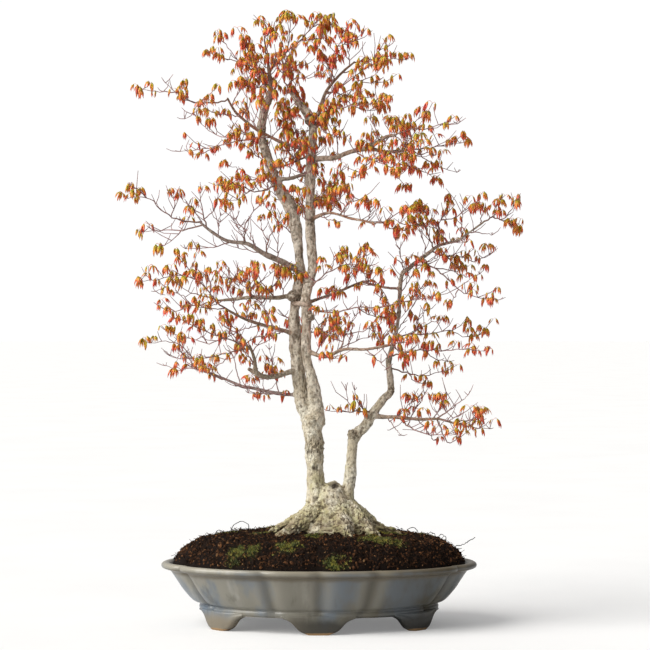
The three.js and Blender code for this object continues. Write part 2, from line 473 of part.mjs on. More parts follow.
// Leafy sprays. Each grows from a trunk or branch, its first twig ends at the given depth, and its twigs
// are drawn by [x, z] points. Every later twig starts on one before it and spreads out in depth.
const { leftTrunk, middleTrunk, rightTrunk } = TRUNKS;
const SPRAYS = {
  crown_tip: { from: leftTrunk, depth: 2, twigs: [
    [[-88, 852], [-91, 878], [-82, 890], [-67, 918]],
    [[-82, 890], [-90, 901], [-101, 912]],
  ] },
  crown_leader: { from: leftTrunk, depth: 26, twigs: [
    [[-84, 828], [-75, 843], [-60, 858], [-37, 879], [-19, 900], [-6, 930]],
    [[-37, 878], [-20, 881], [-3, 884]],
    [[-57, 862], [-53, 892], [-54, 922]],
    [[-19, 900], [-6, 906], [8, 908]],
  ] },
  crown_left: { from: leftTrunk, depth: -22, twigs: [
    [[-84, 826], [-105, 830], [-131, 844], [-149, 846], [-171, 854]],
    [[-128, 843], [-142, 860], [-158, 882]],
    [[-105, 830], [-112, 848], [-118, 868]],
  ] },
  crown_back: { from: leftTrunk, depth: 62, twigs: [
    [[-84, 800], [-92, 818], [-108, 836], [-112, 858]],
    [[-94, 820], [-74, 838], [-68, 852]],
    [[-90, 814], [-106, 806], [-126, 808]],
  ] },
  crown_middle: { from: middleTrunk, depth: -34, twigs: [
    [[-52, 801], [-62, 816], [-60, 838], [-50, 856]],
    [[-61, 822], [-72, 836], [-88, 846]],
    [[-56, 807], [-42, 818], [-24, 817], [-4, 822]],
    [[-62, 826], [-46, 836], [-30, 838]],
  ] },
  far_left_high: { from: BRANCHES.crossingBranch, depth: -58, twigs: [
    [[-144, 784], [-165, 777], [-202, 779], [-217, 789], [-234, 804]],
    [[-220, 791], [-250, 794], [-271, 798]],
    [[-180, 778], [-190, 764], [-206, 752]],
  ] },
  left_high_reach: { from: leftTrunk, depth: 56, twigs: [
    [[-94, 730], [-127, 728], [-165, 720], [-202, 716], [-222, 715]],
    [[-127, 728], [-165, 738], [-187, 755], [-198, 768]],
    [[-160, 721], [-182, 709], [-200, 706]],
  ] },
  left_shoulder: { from: leftTrunk, depth: 84, twigs: [
    [[-80, 680], [-105, 671], [-130, 672], [-155, 664]],
    [[-112, 672], [-128, 686], [-146, 692]],
  ] },
  left_shoulder_front: { from: leftTrunk, depth: -76, twigs: [
    [[-72, 660], [-90, 650], [-109, 648], [-132, 656], [-150, 652]],
    [[-112, 649], [-128, 636], [-142, 634]],
    [[-86, 652], [-84, 668], [-72, 684]],
  ] },
  far_left_upper: { from: BRANCHES.highLeftBranch, depth: -70, twigs: [
    [[-185, 602], [-214, 604], [-235, 614], [-258, 634], [-280, 636], [-300, 634]],
    [[-225, 610], [-222, 630], [-231, 646]],
    [[-262, 635], [-274, 648], [-290, 652]],
  ] },
  far_left_lower: { from: BRANCHES.highLeftBranch, depth: -8, twigs: [
    [[-180, 598], [-212, 590], [-240, 590], [-272, 588]],
    [[-214, 590], [-226, 576], [-240, 568]],
  ] },
  left_upper_lift: { from: BRANCHES.highLeftBranch, depth: -52, twigs: [
    [[-176, 594], [-180, 618], [-184, 642]],
    [[-179, 612], [-200, 624], [-212, 636]],
    [[-178, 606], [-164, 618], [-160, 632]],
  ] },
  left_inner_lift: { from: BRANCHES.highLeftBranch, depth: -44, twigs: [
    [[-88, 554], [-86, 572], [-76, 590], [-60, 606]],
    [[-84, 574], [-93, 588], [-96, 604]],
  ] },
  left_middle_lift: { from: BRANCHES.highLeftBranch, depth: 24, twigs: [
    [[-118, 571], [-120, 594], [-112, 616], [-96, 634]],
    [[-120, 592], [-134, 606], [-142, 622]],
  ] },
  far_left_middle: { from: BRANCHES.burlBranch, depth: 34, twigs: [
    [[-165, 486], [-176, 499], [-200, 520], [-232, 524], [-258, 517], [-280, 516]],
    [[-196, 517], [-206, 532], [-219, 545]],
    [[-232, 524], [-240, 508], [-256, 500]],
  ] },
  left_middle_trail: { from: BRANCHES.burlBranch, depth: 84, twigs: [
    [[-163, 487], [-183, 482], [-210, 477], [-236, 470], [-256, 478]],
    [[-205, 478], [-216, 492], [-228, 498]],
  ] },
  left_middle_back: { from: BRANCHES.burlBranch, depth: 104, twigs: [
    [[-112, 491], [-118, 512], [-130, 532]],
    [[-116, 504], [-98, 516], [-84, 528]],
    [[-118, 512], [-142, 520], [-158, 522]],
  ] },
  left_burl_lift: { from: BRANCHES.burlBranch, depth: -18, twigs: [
    [[-78, 490], [-84, 502], [-96, 514], [-100, 530]],
    [[-84, 502], [-72, 514], [-66, 528]],
  ] },
  left_sway_tip: { from: BRANCHES.swayingBranch, depth: -74, twigs: [
    [[-152, 476], [-170, 490], [-190, 494], [-212, 506]],
    [[-170, 490], [-168, 508], [-176, 522]],
  ] },
  left_hook_reach: { from: BRANCHES.hookedBranch, depth: -56, twigs: [
    [[-112, 417], [-142, 427], [-165, 435], [-202, 452], [-220, 458]],
    [[-150, 430], [-172, 421], [-200, 428], [-217, 428]],
  ] },
  left_hook_low: { from: BRANCHES.hookedBranch, depth: -98, twigs: [
    [[-110, 413], [-136, 410], [-165, 402], [-195, 400]],
    [[-138, 410], [-152, 394], [-168, 384]],
  ] },
  left_hook_lift: { from: BRANCHES.hookedBranch, depth: -20, twigs: [
    [[-108, 408], [-118, 424], [-136, 444], [-146, 456]],
    [[-117, 422], [-100, 432], [-88, 430]],
  ] },
  far_left_low: { from: BRANCHES.lowLeftBranch, depth: 12, twigs: [
    [[-148, 365], [-168, 372], [-195, 393], [-217, 418], [-240, 424], [-262, 422]],
    [[-200, 398], [-222, 398], [-236, 402]],
    [[-217, 418], [-224, 434], [-238, 440]],
  ] },
  left_low_trail: { from: BRANCHES.lowLeftBranch, depth: 84, twigs: [
    [[-176, 376], [-202, 382], [-225, 380], [-246, 386]],
    [[-200, 382], [-208, 396], [-218, 404]],
  ] },
  top_right: { from: BRANCHES.topRightBranch, depth: 34, twigs: [
    [[43, 844], [70, 850], [105, 853], [122, 852]],
    [[72, 850], [82, 864], [96, 872]],
  ] },
  top_right_lift: { from: BRANCHES.topRightBranch, depth: -26, twigs: [
    [[14, 815], [10, 836], [14, 856], [30, 876]],
    [[11, 842], [-4, 852], [-14, 864]],
    [[20, 864], [38, 868], [54, 880]],
  ] },
  right_high: { from: BRANCHES.topRightBranch, depth: -44, twigs: [
    [[1, 794], [15, 800], [45, 819], [67, 832], [84, 837]],
    [[42, 818], [64, 810], [82, 816]],
  ] },
  right_high_back: { from: BRANCHES.topRightBranch, depth: 72, twigs: [
    [[2, 800], [24, 798], [50, 794], [74, 802]],
    [[26, 798], [40, 784], [60, 776], [84, 778]],
  ] },
  right_high_front: { from: middleTrunk, depth: -66, twigs: [
    [[-20, 748], [4, 764], [30, 772], [60, 773], [90, 779]],
    [[4, 764], [18, 778], [32, 790]],
    [[-10, 755], [-4, 740], [10, 730], [28, 728]],
    [[-5, 758], [-28, 738], [-48, 736]],
  ] },
  far_right_high: { from: BRANCHES.highRightBranch, depth: -58, twigs: [
    [[103, 730], [126, 738], [150, 738], [172, 744], [194, 744]],
    [[128, 738], [136, 752], [150, 760]],
    [[110, 731], [122, 718], [142, 716]],
  ] },
  far_right_reach: { from: BRANCHES.highRightFork, depth: 22, twigs: [
    [[128, 713], [157, 715], [180, 720], [204, 724]],
    [[132, 713], [153, 698], [175, 688], [200, 681]],
  ] },
  right_shoulder: { from: BRANCHES.highRightFork, depth: 46, twigs: [
    [[88, 708], [100, 694], [128, 688], [150, 682], [168, 673]],
    [[102, 694], [106, 676], [120, 660]],
  ] },
  right_shoulder_front: { from: BRANCHES.highRightBranch, depth: -86, twigs: [
    [[46, 709], [62, 694], [84, 686], [104, 674]],
    [[64, 694], [56, 678], [44, 668]],
    [[80, 688], [96, 700], [116, 700]],
  ] },
  right_middle_front: { from: BRANCHES.frontRightBranch, depth: -92, twigs: [
    [[73, 597], [90, 602], [108, 614], [122, 616]],
    [[84, 600], [98, 590], [116, 588]],
  ] },
  right_middle_lift: { from: BRANCHES.frontRightBranch, depth: -74, twigs: [
    [[22, 613], [32, 626], [46, 632], [60, 628]],
    [[30, 624], [18, 636], [8, 640]],
  ] },
  right_inner: { from: middleTrunk, depth: -58, twigs: [
    [[-26, 500], [-10, 516], [10, 530], [36, 538], [64, 536]],
    [[8, 529], [14, 546], [26, 554]],
    [[40, 538], [58, 526], [80, 526]],
    [[-14, 512], [-30, 526], [-48, 526]],
  ] },
  right_front_reach: { from: middleTrunk, depth: -62, twigs: [
    [[-22, 474], [10, 468], [45, 474], [82, 476], [120, 484], [156, 491]],
    [[48, 474], [70, 462], [92, 462]],
  ] },
  right_low_tip: { from: BRANCHES.lowRightBranch, depth: -84, twigs: [
    [[95, 419], [110, 424], [128, 430]],
    [[98, 420], [112, 408], [122, 404]],
  ] },
  right_low_lift: { from: BRANCHES.lowRightBranch, depth: -26, twigs: [
    [[24, 411], [28, 430], [36, 450], [44, 462]],
    [[27, 424], [8, 430], [-4, 440]],
    [[30, 436], [52, 438], [72, 446]],
  ] },
  back_low: { from: leftTrunk, depth: 112, twigs: [
    [[-42, 425], [-30, 436], [-6, 440], [20, 432]],
    [[-30, 436], [-40, 452], [-62, 462]],
    [[-14, 440], [-2, 456], [16, 464]],
  ] },
  back_high: { from: leftTrunk, depth: 106, twigs: [
    [[-46, 605], [-34, 622], [-10, 636], [14, 640]],
    [[-32, 623], [-44, 640], [-60, 650]],
    [[-12, 635], [-2, 652], [14, 664]],
  ] },
  low_inner: { from: rightTrunk, depth: -34, twigs: [
    [[72, 317], [52, 320], [28, 320], [6, 322]],
    [[44, 320], [34, 336], [32, 350]],
    [[58, 319], [50, 334], [44, 352]],
  ] },
  low_far_tip: { from: BRANCHES.lowFarBranch, depth: -58, twigs: [
    [[193, 302], [212, 305], [226, 322]],
    [[200, 303], [222, 296], [246, 294]],
  ] },
  low_far_hang: { from: BRANCHES.lowFarBranch, depth: -4, twigs: [
    [[167, 309], [174, 292], [184, 272], [198, 279], [212, 288]],
  ] },
  low_far_lift: { from: BRANCHES.lowFarBranch, depth: -54, twigs: [
    [[165, 309], [184, 322], [202, 338], [210, 346]],
    [[180, 319], [170, 334], [164, 342]],
  ] },
  low_near_hang: { from: BRANCHES.lowFarBranch, depth: -54, twigs: [
    [[112, 310], [122, 299], [145, 290], [165, 286], [190, 288]],
    [[123, 299], [134, 320], [150, 346]],
  ] },
  low_step: { from: rightTrunk, depth: 46, twigs: [
    [[98, 385], [123, 377], [150, 372], [184, 381]],
    [[124, 377], [135, 364], [152, 360]],
  ] },
  low_ledge: { from: rightTrunk, depth: -30, twigs: [
    [[98, 403], [118, 406], [135, 411], [172, 411], [205, 413], [240, 411]],
    [[150, 411], [166, 398], [184, 394]],
  ] },
  right_trunk_fan: { from: rightTrunk, depth: 42, twigs: [
    [[105, 430], [127, 435], [158, 452], [176, 456]],
    [[127, 435], [160, 436], [190, 440], [216, 430], [247, 436]],
    [[140, 442], [140, 458], [150, 470]],
  ] },
  right_trunk_stub: { from: rightTrunk, depth: -22, twigs: [
    [[111, 480], [130, 486], [150, 490], [166, 488]],
    [[128, 486], [140, 500], [154, 508]],
  ] },
  right_trunk_trail: { from: rightTrunk, depth: -30, twigs: [
    [[142, 545], [162, 536], [177, 524], [192, 509], [208, 497], [230, 490], [257, 486]],
    [[165, 534], [190, 531], [214, 522], [234, 526]],
    [[200, 503], [192, 488], [184, 480]],
  ] },
  right_trunk_reach: { from: rightTrunk, depth: 58, twigs: [
    [[160, 559], [180, 554], [210, 552], [228, 546], [252, 556]],
    [[184, 554], [196, 540], [210, 534]],
  ] },
  right_trunk_tip: { from: rightTrunk, depth: -22, twigs: [
    [[239, 604], [252, 610], [266, 608], [284, 626], [296, 634]],
    [[262, 608], [282, 598], [304, 591]],
    [[254, 610], [254, 624], [262, 636]],
  ] },
  right_trunk_lift: { from: rightTrunk, depth: 40, twigs: [
    [[170, 568], [173, 588], [172, 603], [186, 620], [192, 634]],
    [[173, 590], [160, 603], [152, 620]],
    [[176, 608], [196, 612], [212, 622]],
  ] },
  right_trunk_inner: { from: rightTrunk, depth: -24, twigs: [
    [[164, 563], [156, 580], [148, 596], [127, 598], [112, 600]],
    [[150, 594], [142, 612], [144, 626]],
  ] },
};

// A route's nearest point to a place in the picture plane
function nearestOn(routes, x, z) {
  const place = new THREE.Vector3(x, 0, z);
  const [flatStart, flatEnd] = [new THREE.Vector3(), new THREE.Vector3()];
  let best = null;
  routes.forEach((route) => {
    for (let i = 1; i < route.length; i += 1) {
      flatStart.copy(route[i - 1]).setY(0);
      flatEnd.copy(route[i]).setY(0);
      const share = new THREE.Line3(flatStart, flatEnd).closestPointToPointParameter(place, true);
      const found = route[i - 1].clone().lerp(route[i], share);
      const miss = Math.hypot(found.x - x, found.z - z);
      if (!best || miss < best.miss) best = { found, miss };
    }
  });
  return best.found;
}

// The twigs of a spray as routes in space. Later twigs lean to the back and to the front in turn.
function twigRoutes({ from, depth, twigs }) {
  const wood = from.map(([x, y, z]) => new THREE.Vector3(x, y, z));
  const routes = [];
  twigs.forEach((points, order) => {
    const start = nearestOn(order === 0 ? [wood] : routes, ...points[0]);
    const reaches = [0];
    for (let i = 1; i < points.length; i += 1) {
      const [[x0, z0], [x1, z1]] = [points[i - 1], points[i]];
      reaches.push(reaches[i - 1] + Math.hypot(x1 - x0, z1 - z0));
    }
    const length = reaches[reaches.length - 1];
    const lean = order % 2 === 1 ? TWIG_LEAN : -TWIG_LEAN;
    const drift = order === 0 ? DEPTH_SPREAD * depth - start.y : lean * length;
    routes.push(points.map(([x, z], i) => (
      i === 0 ? start : new THREE.Vector3(x, start.y + (drift * reaches[i]) / length, z)
    )));
  });
  return routes;
}

// A spray is grown as one shell: its points, and its faces as three points each, anticlockwise from outside
function addPoint(shell, point) {
  shell.points.push(point);
  return shell.points.length - 1;
}

function addFace(shell, corners) {
  const [p, q, r] = corners.map((corner) => shell.points[corner]);
  const normal = q.clone().sub(p).cross(r.clone().sub(p)).normalize();
  const centre = p.clone().add(q).add(r).divideScalar(3);
  const face = { corners, normal, centre, taken: false };
  shell.faces.push(face);
  return face;
}

// Distances along a route, and the place and the heading at a distance
function reachesOf(route) {
  const reaches = [0];
  for (let i = 1; i < route.length; i += 1) reaches.push(reaches[i - 1] + route[i].distanceTo(route[i - 1]));
  return reaches;
}

function placeAt(route, reach) {
  const reaches = reachesOf(route);
  const after = Math.max(1, reaches.findIndex((other) => other >= reach));
  const share = (reach - reaches[after - 1]) / (reaches[after] - reaches[after - 1]);
  return route[after - 1].clone().lerp(route[after], THREE.MathUtils.clamp(share, 0, 1));
}

function headingAt(route, reach) {
  const length = reachesOf(route).at(-1);
  const ahead = placeAt(route, Math.min(reach + NODE_HALF, length));
  return ahead.sub(placeAt(route, Math.max(reach - NODE_HALF, 0))).normalize();
}

// A twig of three sides with a short collar at each node, where leaves and side twigs grow from its faces.
// It starts on a face of its parent, or for a spray's first twig on a section of its own.
function growTwig(shell, { route, thick, nodes }, socket) {
  const reaches = reachesOf(route);
  const length = reaches.at(-1);
  const collars = nodes.flatMap(({ at }) => [at - NODE_HALF, at + NODE_HALF]);
  const bends = reaches.filter((reach) => collars.every((collar) => Math.abs(collar - reach) > BEND_ROOM));
  const places = [...collars, ...bends].sort((one, two) => one - two);
  const first = headingAt(route, 0);
  let spoke = Math.abs(first.y) > 0.8 ? new THREE.Vector3(1, 0, 0) : new THREE.Vector3(0, 1, 0);
  if (socket) spoke = shell.points[socket.corners[0]].clone().sub(socket.centre);
  let ring = socket ? socket.corners : null;
  places.filter((place) => !socket || place > BEND_ROOM).forEach((place) => {
    const heading = headingAt(route, place);
    const radius = thick + ((TWIG_TIP_RADIUS - thick) * place) / length;
    spoke = spoke.clone().addScaledVector(heading, -spoke.dot(heading)).normalize();
    const next = [0, 1, 2].map((corner) => {
      const offset = spoke.clone().applyAxisAngle(heading, (corner * 2 * Math.PI) / 3).multiplyScalar(radius);
      return addPoint(shell, placeAt(route, place).add(offset));
    });
    if (ring === null) addFace(shell, [next[0], next[2], next[1]]);
    else {
      const node = nodes.find(({ at }) => Math.abs(at + NODE_HALF - place) < 1e-9);
      const walls = [0, 1, 2].flatMap((i) => {
        const j = (i + 1) % 3;
        const lower = addFace(shell, [ring[i], ring[j], next[j]]);
        const upper = addFace(shell, [ring[i], next[j], next[i]]);
        return [Object.assign(lower, { partner: upper }), Object.assign(upper, { partner: lower })];
      });
      if (node) node.faces = walls;
    }
    ring = next;
  });
  const end = addFace(shell, ring);
  nodes.at(-1).faces.push(Object.assign(end, { partner: end }));
}

// The free face of a node that looks most nearly in a direction
function bestFace(node, direction) {
  const free = node.faces.filter((face) => !face.taken && !face.partner.taken);
  return free.sort((one, two) => two.normal.dot(direction) - one.normal.dot(direction))[0];
}

// A leaf is palmate and deeply cut. Its edge is listed from the middle lobe's tip round to the leaf's base,
// as [angle from the middle, reach] pairs, as shares of its length, for one half.
const FIVE_LOBES = [[0, 0.8], [17, 0.33], [42, 0.7], [63, 0.25], [92, 0.44]];
const THREE_LOBES = [[0, 0.8], [22, 0.28], [50, 0.62]];

// The leaf's edge in space, from its right-hand base round the tip to its left-hand base
function leafEdge({ base, forward, across, length, edge }) {
  const normal = across.clone().cross(forward);
  const hub = base.clone().addScaledVector(forward, LEAF_HUB * length);
  const left = edge.slice(1).map(([angle, reach]) => [-angle, reach]);
  return [...edge.slice(1).reverse(), edge[0], ...left].map(([angle, reach]) => {
    const turn = THREE.MathUtils.degToRad(angle);
    const side = Math.sin(turn) * reach * length;
    const point = hub.clone().addScaledVector(forward, Math.cos(turn) * reach * length);
    return point.addScaledVector(across, side).addScaledVector(normal, -LEAF_FOLD * Math.abs(side));
  });
}

// A leaf is a thin lens that grows out of a face of its twig, with that face's corners in its edge
function growLeaf(shell, socket, blade) {
  const { base, forward, across, length } = blade;
  const normal = across.clone().cross(forward);
  const sideOf = (corner) => shell.points[corner].dot(across);
  let corners = socket.corners;
  while (sideOf(corners[0]) > Math.min(sideOf(corners[1]), sideOf(corners[2]))) {
    corners = [corners[1], corners[2], corners[0]];
  }
  const [left, second, third] = corners;
  const isSecondRight = sideOf(second) > sideOf(third);
  const upperNeck = isSecondRight ? [left, second] : [left, second, third];
  const lowerNeck = isSecondRight ? [second, third, left] : [third, left];
  const rim = leafEdge(blade).map((point) => addPoint(shell, point));
  const upper = [lowerNeck[0], ...rim, ...upperNeck];
  const lower = [...lowerNeck, ...rim.slice().reverse(), lowerNeck[0]];
  [[upper, 0.5], [lower, -0.5]].forEach(([loop, half]) => {
    const middle = base.clone().addScaledVector(forward, LEAF_HUB * length);
    const hub = addPoint(shell, middle.addScaledVector(normal, half * LEAF_THICKNESS));
    for (let i = 1; i < loop.length; i += 1) addFace(shell, [hub, loop[i - 1], loop[i]]);
  });
}

// What leaves have to keep clear of: round bars between two points, each with its radius and its piece
const bars = [];
const LOBE_RADII = [0.4, 0.2];

function addBars(route, radii, piece) {
  for (let i = 1; i < route.length; i += 1) {
    const radius = Math.max(radii[i - 1], radii[i]);
    bars.push({ line: new THREE.Line3(route[i - 1], route[i]), radius, piece });
  }
}

function isClear(points, piece) {
  const nearest = new THREE.Vector3();
  return bars.every(({ line, radius, piece: other }) => {
    const room = radius + (other === piece ? OWN_ROOM : OTHER_ROOM);
    return points.every((point) => {
      line.closestPointToPoint(point, true, nearest);
      return nearest.distanceToSquared(point) > room * room;
    });
  });
}

// The ways a leaf may be tilted on its face, and what a tilt of one adds to its lean and to its roll
const TILTS = [0, 0.5, -0.5, 1, -1];
const [LEAN_AHEAD, TILT_AHEAD, TILT_LIFT, TILT_ROLL] = [0.35, 0.4, 0.4, 0.5];

// A leaf on a socket of its twig, with the points on it that must be clear of everything round it
function leafOn(socket, heading, tilt, length, edge) {
  const base = socket.centre;
  const forward = socket.normal.clone().addScaledVector(heading, LEAN_AHEAD + TILT_AHEAD * tilt);
  forward.z -= LEAF_DROOP * (1 - TILT_LIFT * Math.abs(tilt));
  forward.normalize();
  const level = forward.clone().cross(new THREE.Vector3(0, 0, 1)).normalize();
  const across = level.applyAxisAngle(forward, TILT_ROLL * tilt);
  const blade = { base, forward, across, length, edge };
  const hub = base.clone().addScaledVector(forward, LEAF_HUB * length);
  const tips = leafEdge(blade).filter((point, i) => i % 2 === 0);
  return { blade, hub, tips, probes: [hub, ...tips, ...tips.map((tip) => tip.clone().lerp(hub, 0.5))] };
}

// Grows a leaf on a node, on the first face and with the first tilt that keep it clear of its surroundings
function placeLeaf(shell, node, heading, wish, draw, piece) {
  const length = LEAF_LENGTH * (1 + LEAF_LENGTH_SPREAD * (draw() - 0.5));
  const edge = draw() < FIVE_LOBED_SHARE ? FIVE_LOBES : THREE_LOBES;
  const wishes = [wish, ...[1, 2, 3].map((i) => wish.clone().applyAxisAngle(heading, (i * Math.PI) / 2))];
  for (const direction of wishes) {
    const socket = bestFace(node, direction);
    for (const tilt of socket ? TILTS : []) {
      const { blade, hub, tips, probes } = leafOn(socket, heading, tilt, length, edge);
      if (blade.forward.dot(socket.normal) > MOST_LEAN && isClear(probes, piece)) {
        tips.forEach((tip) => addBars([hub, tip], LOBE_RADII, piece));
        socket.taken = true;
        growLeaf(shell, socket, blade);
        return;
      }
    }
  }
}

// Nodes of a twig: one at its tip, others evenly back from it, and one wherever a side twig starts
function nodesOf(route, starts) {
  const length = reachesOf(route).at(-1);
  const nodes = [{ at: length - NODE_HALF, leaves: TIP_LEAVES, starts: [] }];
  starts.forEach((start) => {
    const near = nodes.find(({ at }) => Math.abs(at - start.at) < NODE_ROOM);
    if (near) near.starts.push(start);
    else nodes.push({ at: start.at, leaves: 1, starts: [start] });
  });
  for (let back = LEAF_SPACING; back < length * LEAFY_SHARE; back += LEAF_SPACING) {
    const at = length - back;
    if (nodes.every((node) => Math.abs(node.at - at) > NODE_ROOM)) nodes.push({ at, leaves: 2, starts: [] });
  }
  return nodes.sort((one, two) => one.at - two.at);
}

// How far along a route the nearest point to a place is
function reachOf(route, place) {
  const reaches = reachesOf(route);
  const found = reaches.slice(1).map((reach, i) => {
    const line = new THREE.Line3(route[i], route[i + 1]);
    const share = line.closestPointToPointParameter(place, true);
    const miss = line.at(share, new THREE.Vector3()).distanceTo(place);
    return { at: reaches[i] + share * (reach - reaches[i]), miss };
  });
  return found.sort((one, two) => one.miss - two.miss)[0];
}

// The twigs of a spray as a tree: each has its route and nodes, and each node the twigs that start there
function twigTree(routes) {
  const starts = routes.map(() => []);
  const twigs = routes.map((route, order) => (
    { route, thick: order === 0 ? MAIN_TWIG_RADIUS : SIDE_TWIG_RADIUS }
  ));
  routes.forEach((route, order) => {
    const parents = routes.slice(0, order).map((other, i) => ({ parent: i, ...reachOf(other, route[0]) }));
    const [best] = parents.sort((one, two) => one.miss - two.miss);
    if (best) starts[best.parent].push({ at: best.at, twig: twigs[order] });
  });
  twigs.forEach((twig, order) => Object.assign(twig, { nodes: nodesOf(twig.route, starts[order]) }));
  return twigs[0];
}

function growSpray(shell, twig, socket, draw, piece) {
  growTwig(shell, twig, socket);
  twig.nodes.forEach((node, order) => {
    node.starts.forEach(({ twig: child }) => {
      const face = bestFace(node, headingAt(child.route, 0));
      face.taken = true;
      growSpray(shell, child, face, draw, piece);
    });
    const heading = headingAt(twig.route, node.at);
    const level = heading.clone().cross(new THREE.Vector3(0, 0, 1)).normalize();
    const turn = order * LEAF_TURN + LEAF_TURN_SPREAD * draw();
    for (let i = 0; i < node.leaves; i += 1) {
      const wish = level.clone().applyAxisAngle(heading, turn + i * Math.PI);
      placeLeaf(shell, node, heading, wish, draw, piece);
    }
  });
}

function shellGeometry(shell) {
  const geometry = new THREE.BufferGeometry().setFromPoints(shell.points);
  geometry.setIndex(shell.faces.filter((face) => !face.taken).flatMap((face) => face.corners));
  return geometry;
}

// Seats a spray on its wood with a hair's gap, and drops what the seat cuts off inside the wood
function makeSprays() {
  const sprays = Object.entries(SPRAYS).map(([name, spray]) => ({ name, routes: twigRoutes(spray) }));
  [...Object.values(FLARE), ...Object.values(TRUNKS), ...Object.values(BRANCHES)].forEach((stations) => {
    const route = stations.map(([x, y, z]) => new THREE.Vector3(x, y, z));
    addBars(route, stations.map((station) => station[3]), 'tree');
  });
  sprays.forEach(({ name, routes }) => routes.forEach((route) => {
    addBars(route, route.map(() => SIDE_TWIG_RADIUS), name);
  }));
  const wood = woodyFrame(FIT_GAP);
  return sprays.map(({ name, routes }, order) => {
    const shell = { points: [], faces: [] };
    growSpray(shell, twigTree(routes), null, drawsFrom(LEAF_SEED + order * SEED_STEP), name);
    const seated = solidOf(shellGeometry(shell)).subtract(wood);
    const [spray] = seated.decompose().sort((one, two) => two.volume() - one.volume());
    return meshOf(`spray_${name}`, spray, order % 3 === 0 ? leafGold : leafRed);
  });
}

const bonsai = new THREE.Group();
bonsai.add(meshOf('pot', makePot(), glaze));
bonsai.add(meshOf('soil', makeSoil(treeHollow()), earth));
bonsai.add(meshOf('drain_screen_left', drainScreen(-DRAIN_OFFSET), netPlastic));
bonsai.add(meshOf('drain_screen_right', drainScreen(DRAIN_OFFSET), netPlastic));
bonsai.add(meshOf('tree', makeTree(), bark));
bonsai.add(...makeSprays());

export default bonsai;
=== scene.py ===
# %% [markdown]
# # A maple bonsai in its pot
# The solids of the plant are already fixed: a pot, a mound of soil, a woody frame and its leafy sprays.
# This lesson dresses them. It reads only that frame, works in metres with +Z up, and gives the same
# picture on every run, because every random draw has a fixed seed.

# %% Load the fixed frame
import math
import random

import bmesh
import bpy
import numpy as np
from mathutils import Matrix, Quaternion, Vector, noise


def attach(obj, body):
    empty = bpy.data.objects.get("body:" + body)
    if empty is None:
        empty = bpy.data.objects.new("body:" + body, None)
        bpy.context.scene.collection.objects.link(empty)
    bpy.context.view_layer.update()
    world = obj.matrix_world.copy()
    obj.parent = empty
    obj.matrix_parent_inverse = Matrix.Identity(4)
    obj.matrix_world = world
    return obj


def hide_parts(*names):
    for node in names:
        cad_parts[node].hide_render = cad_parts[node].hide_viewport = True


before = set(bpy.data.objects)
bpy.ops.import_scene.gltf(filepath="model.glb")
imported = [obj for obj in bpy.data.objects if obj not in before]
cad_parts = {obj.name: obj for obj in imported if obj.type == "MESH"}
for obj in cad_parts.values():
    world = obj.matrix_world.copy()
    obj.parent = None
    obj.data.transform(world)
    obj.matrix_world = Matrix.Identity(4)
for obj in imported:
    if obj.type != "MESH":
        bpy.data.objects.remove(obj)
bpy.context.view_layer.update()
MM = 0.001


# %% [markdown]
# ## Small helpers for node trees
# Finishes and growth are both node trees. One helper adds a node and fills its sockets, either with plain
# values or with the outputs of other nodes. The others are the few nodes that nearly every tree needs.

# %% Node helpers
def plug(tree, socket, value):
    """Joins a socket to an output, or sets it to a plain value. A colour may come without its alpha."""
    if isinstance(value, bpy.types.NodeSocket):
        tree.links.new(value, socket)
    else:
        socket.default_value = (*value, 1) if socket.type == "RGBA" and len(value) == 3 else value


def add_node(tree, kind, inputs=None, **settings):
    node = tree.nodes.new(kind)
    for name, value in settings.items():
        setattr(node, name, value)
    for socket, value in (inputs or {}).items():
        plug(tree, node.inputs[socket], value)
    return node


def calc(tree, operation, *values):
    return add_node(tree, "ShaderNodeMath", dict(enumerate(values)), operation=operation).outputs[0]


def multiply(tree, first, second):
    return calc(tree, "MULTIPLY", first, second)


def map_range(tree, value, low, high, start=0.0, end=1.0, shape="LINEAR"):
    """Takes the range from low to high to the one from start to end, and holds it outside."""
    inputs = {"Value": value, "From Min": low, "From Max": high, "To Min": start, "To Max": end}
    return add_node(tree, "ShaderNodeMapRange", inputs, interpolation_type=shape).outputs["Result"]


def start_group(name, kind, inputs, output):
    """A node group with named inputs, each a name, a kind and a first value, and with one output."""
    group = bpy.data.node_groups.new(name, kind)
    for label, socket_kind, value in inputs:
        socket = group.interface.new_socket(label, in_out="INPUT", socket_type="NodeSocket" + socket_kind)
        if value is not None:
            socket.default_value = value
    group.interface.new_socket(output[0], in_out="OUTPUT", socket_type="NodeSocket" + output[1])
    return group, group.nodes.new("NodeGroupInput").outputs


def close_group(group, value):
    plug(group, group.nodes.new("NodeGroupOutput").inputs[0], value)


def put_in_scene(name, data):
    piece = bpy.data.objects.new(name, data)
    bpy.context.scene.collection.objects.link(piece)
    return piece


print("helpers ready")


# %% [markdown]
# ## Camera, light and ground
# The plant was photographed level, from a good way off, so a long lens on the height of its middle gives
# the same view.

# %% Camera
camera_data = bpy.data.cameras.new("camera")
camera_data.sensor_width = 36
camera_data.lens = 125.5
camera = put_in_scene("camera", camera_data)
camera.location = (0, -3.4, 0.449)
camera.rotation_euler = (math.pi / 2, 0, 0)
bpy.context.scene.camera = camera
print("camera lens", camera_data.lens, "mm")


# %% [markdown]
# Light is soft and comes mostly from the left: one wide lamp, and a room that is bright on the left and dim
# on the right. So the right side of the pot and of each trunk falls into shade. Behind the plant the camera
# itself sees plain white.

# %% Light and sky
KEY_FROM, KEY_STRENGTH, KEY_SOFTNESS = (-0.85, -0.45, 0.66), 3.7, 50
LEFT_FILL, RIGHT_FILL, ROOM_SIDE, BACKDROP_STRENGTH = 0.68, 0.16, 0.8, 1.02

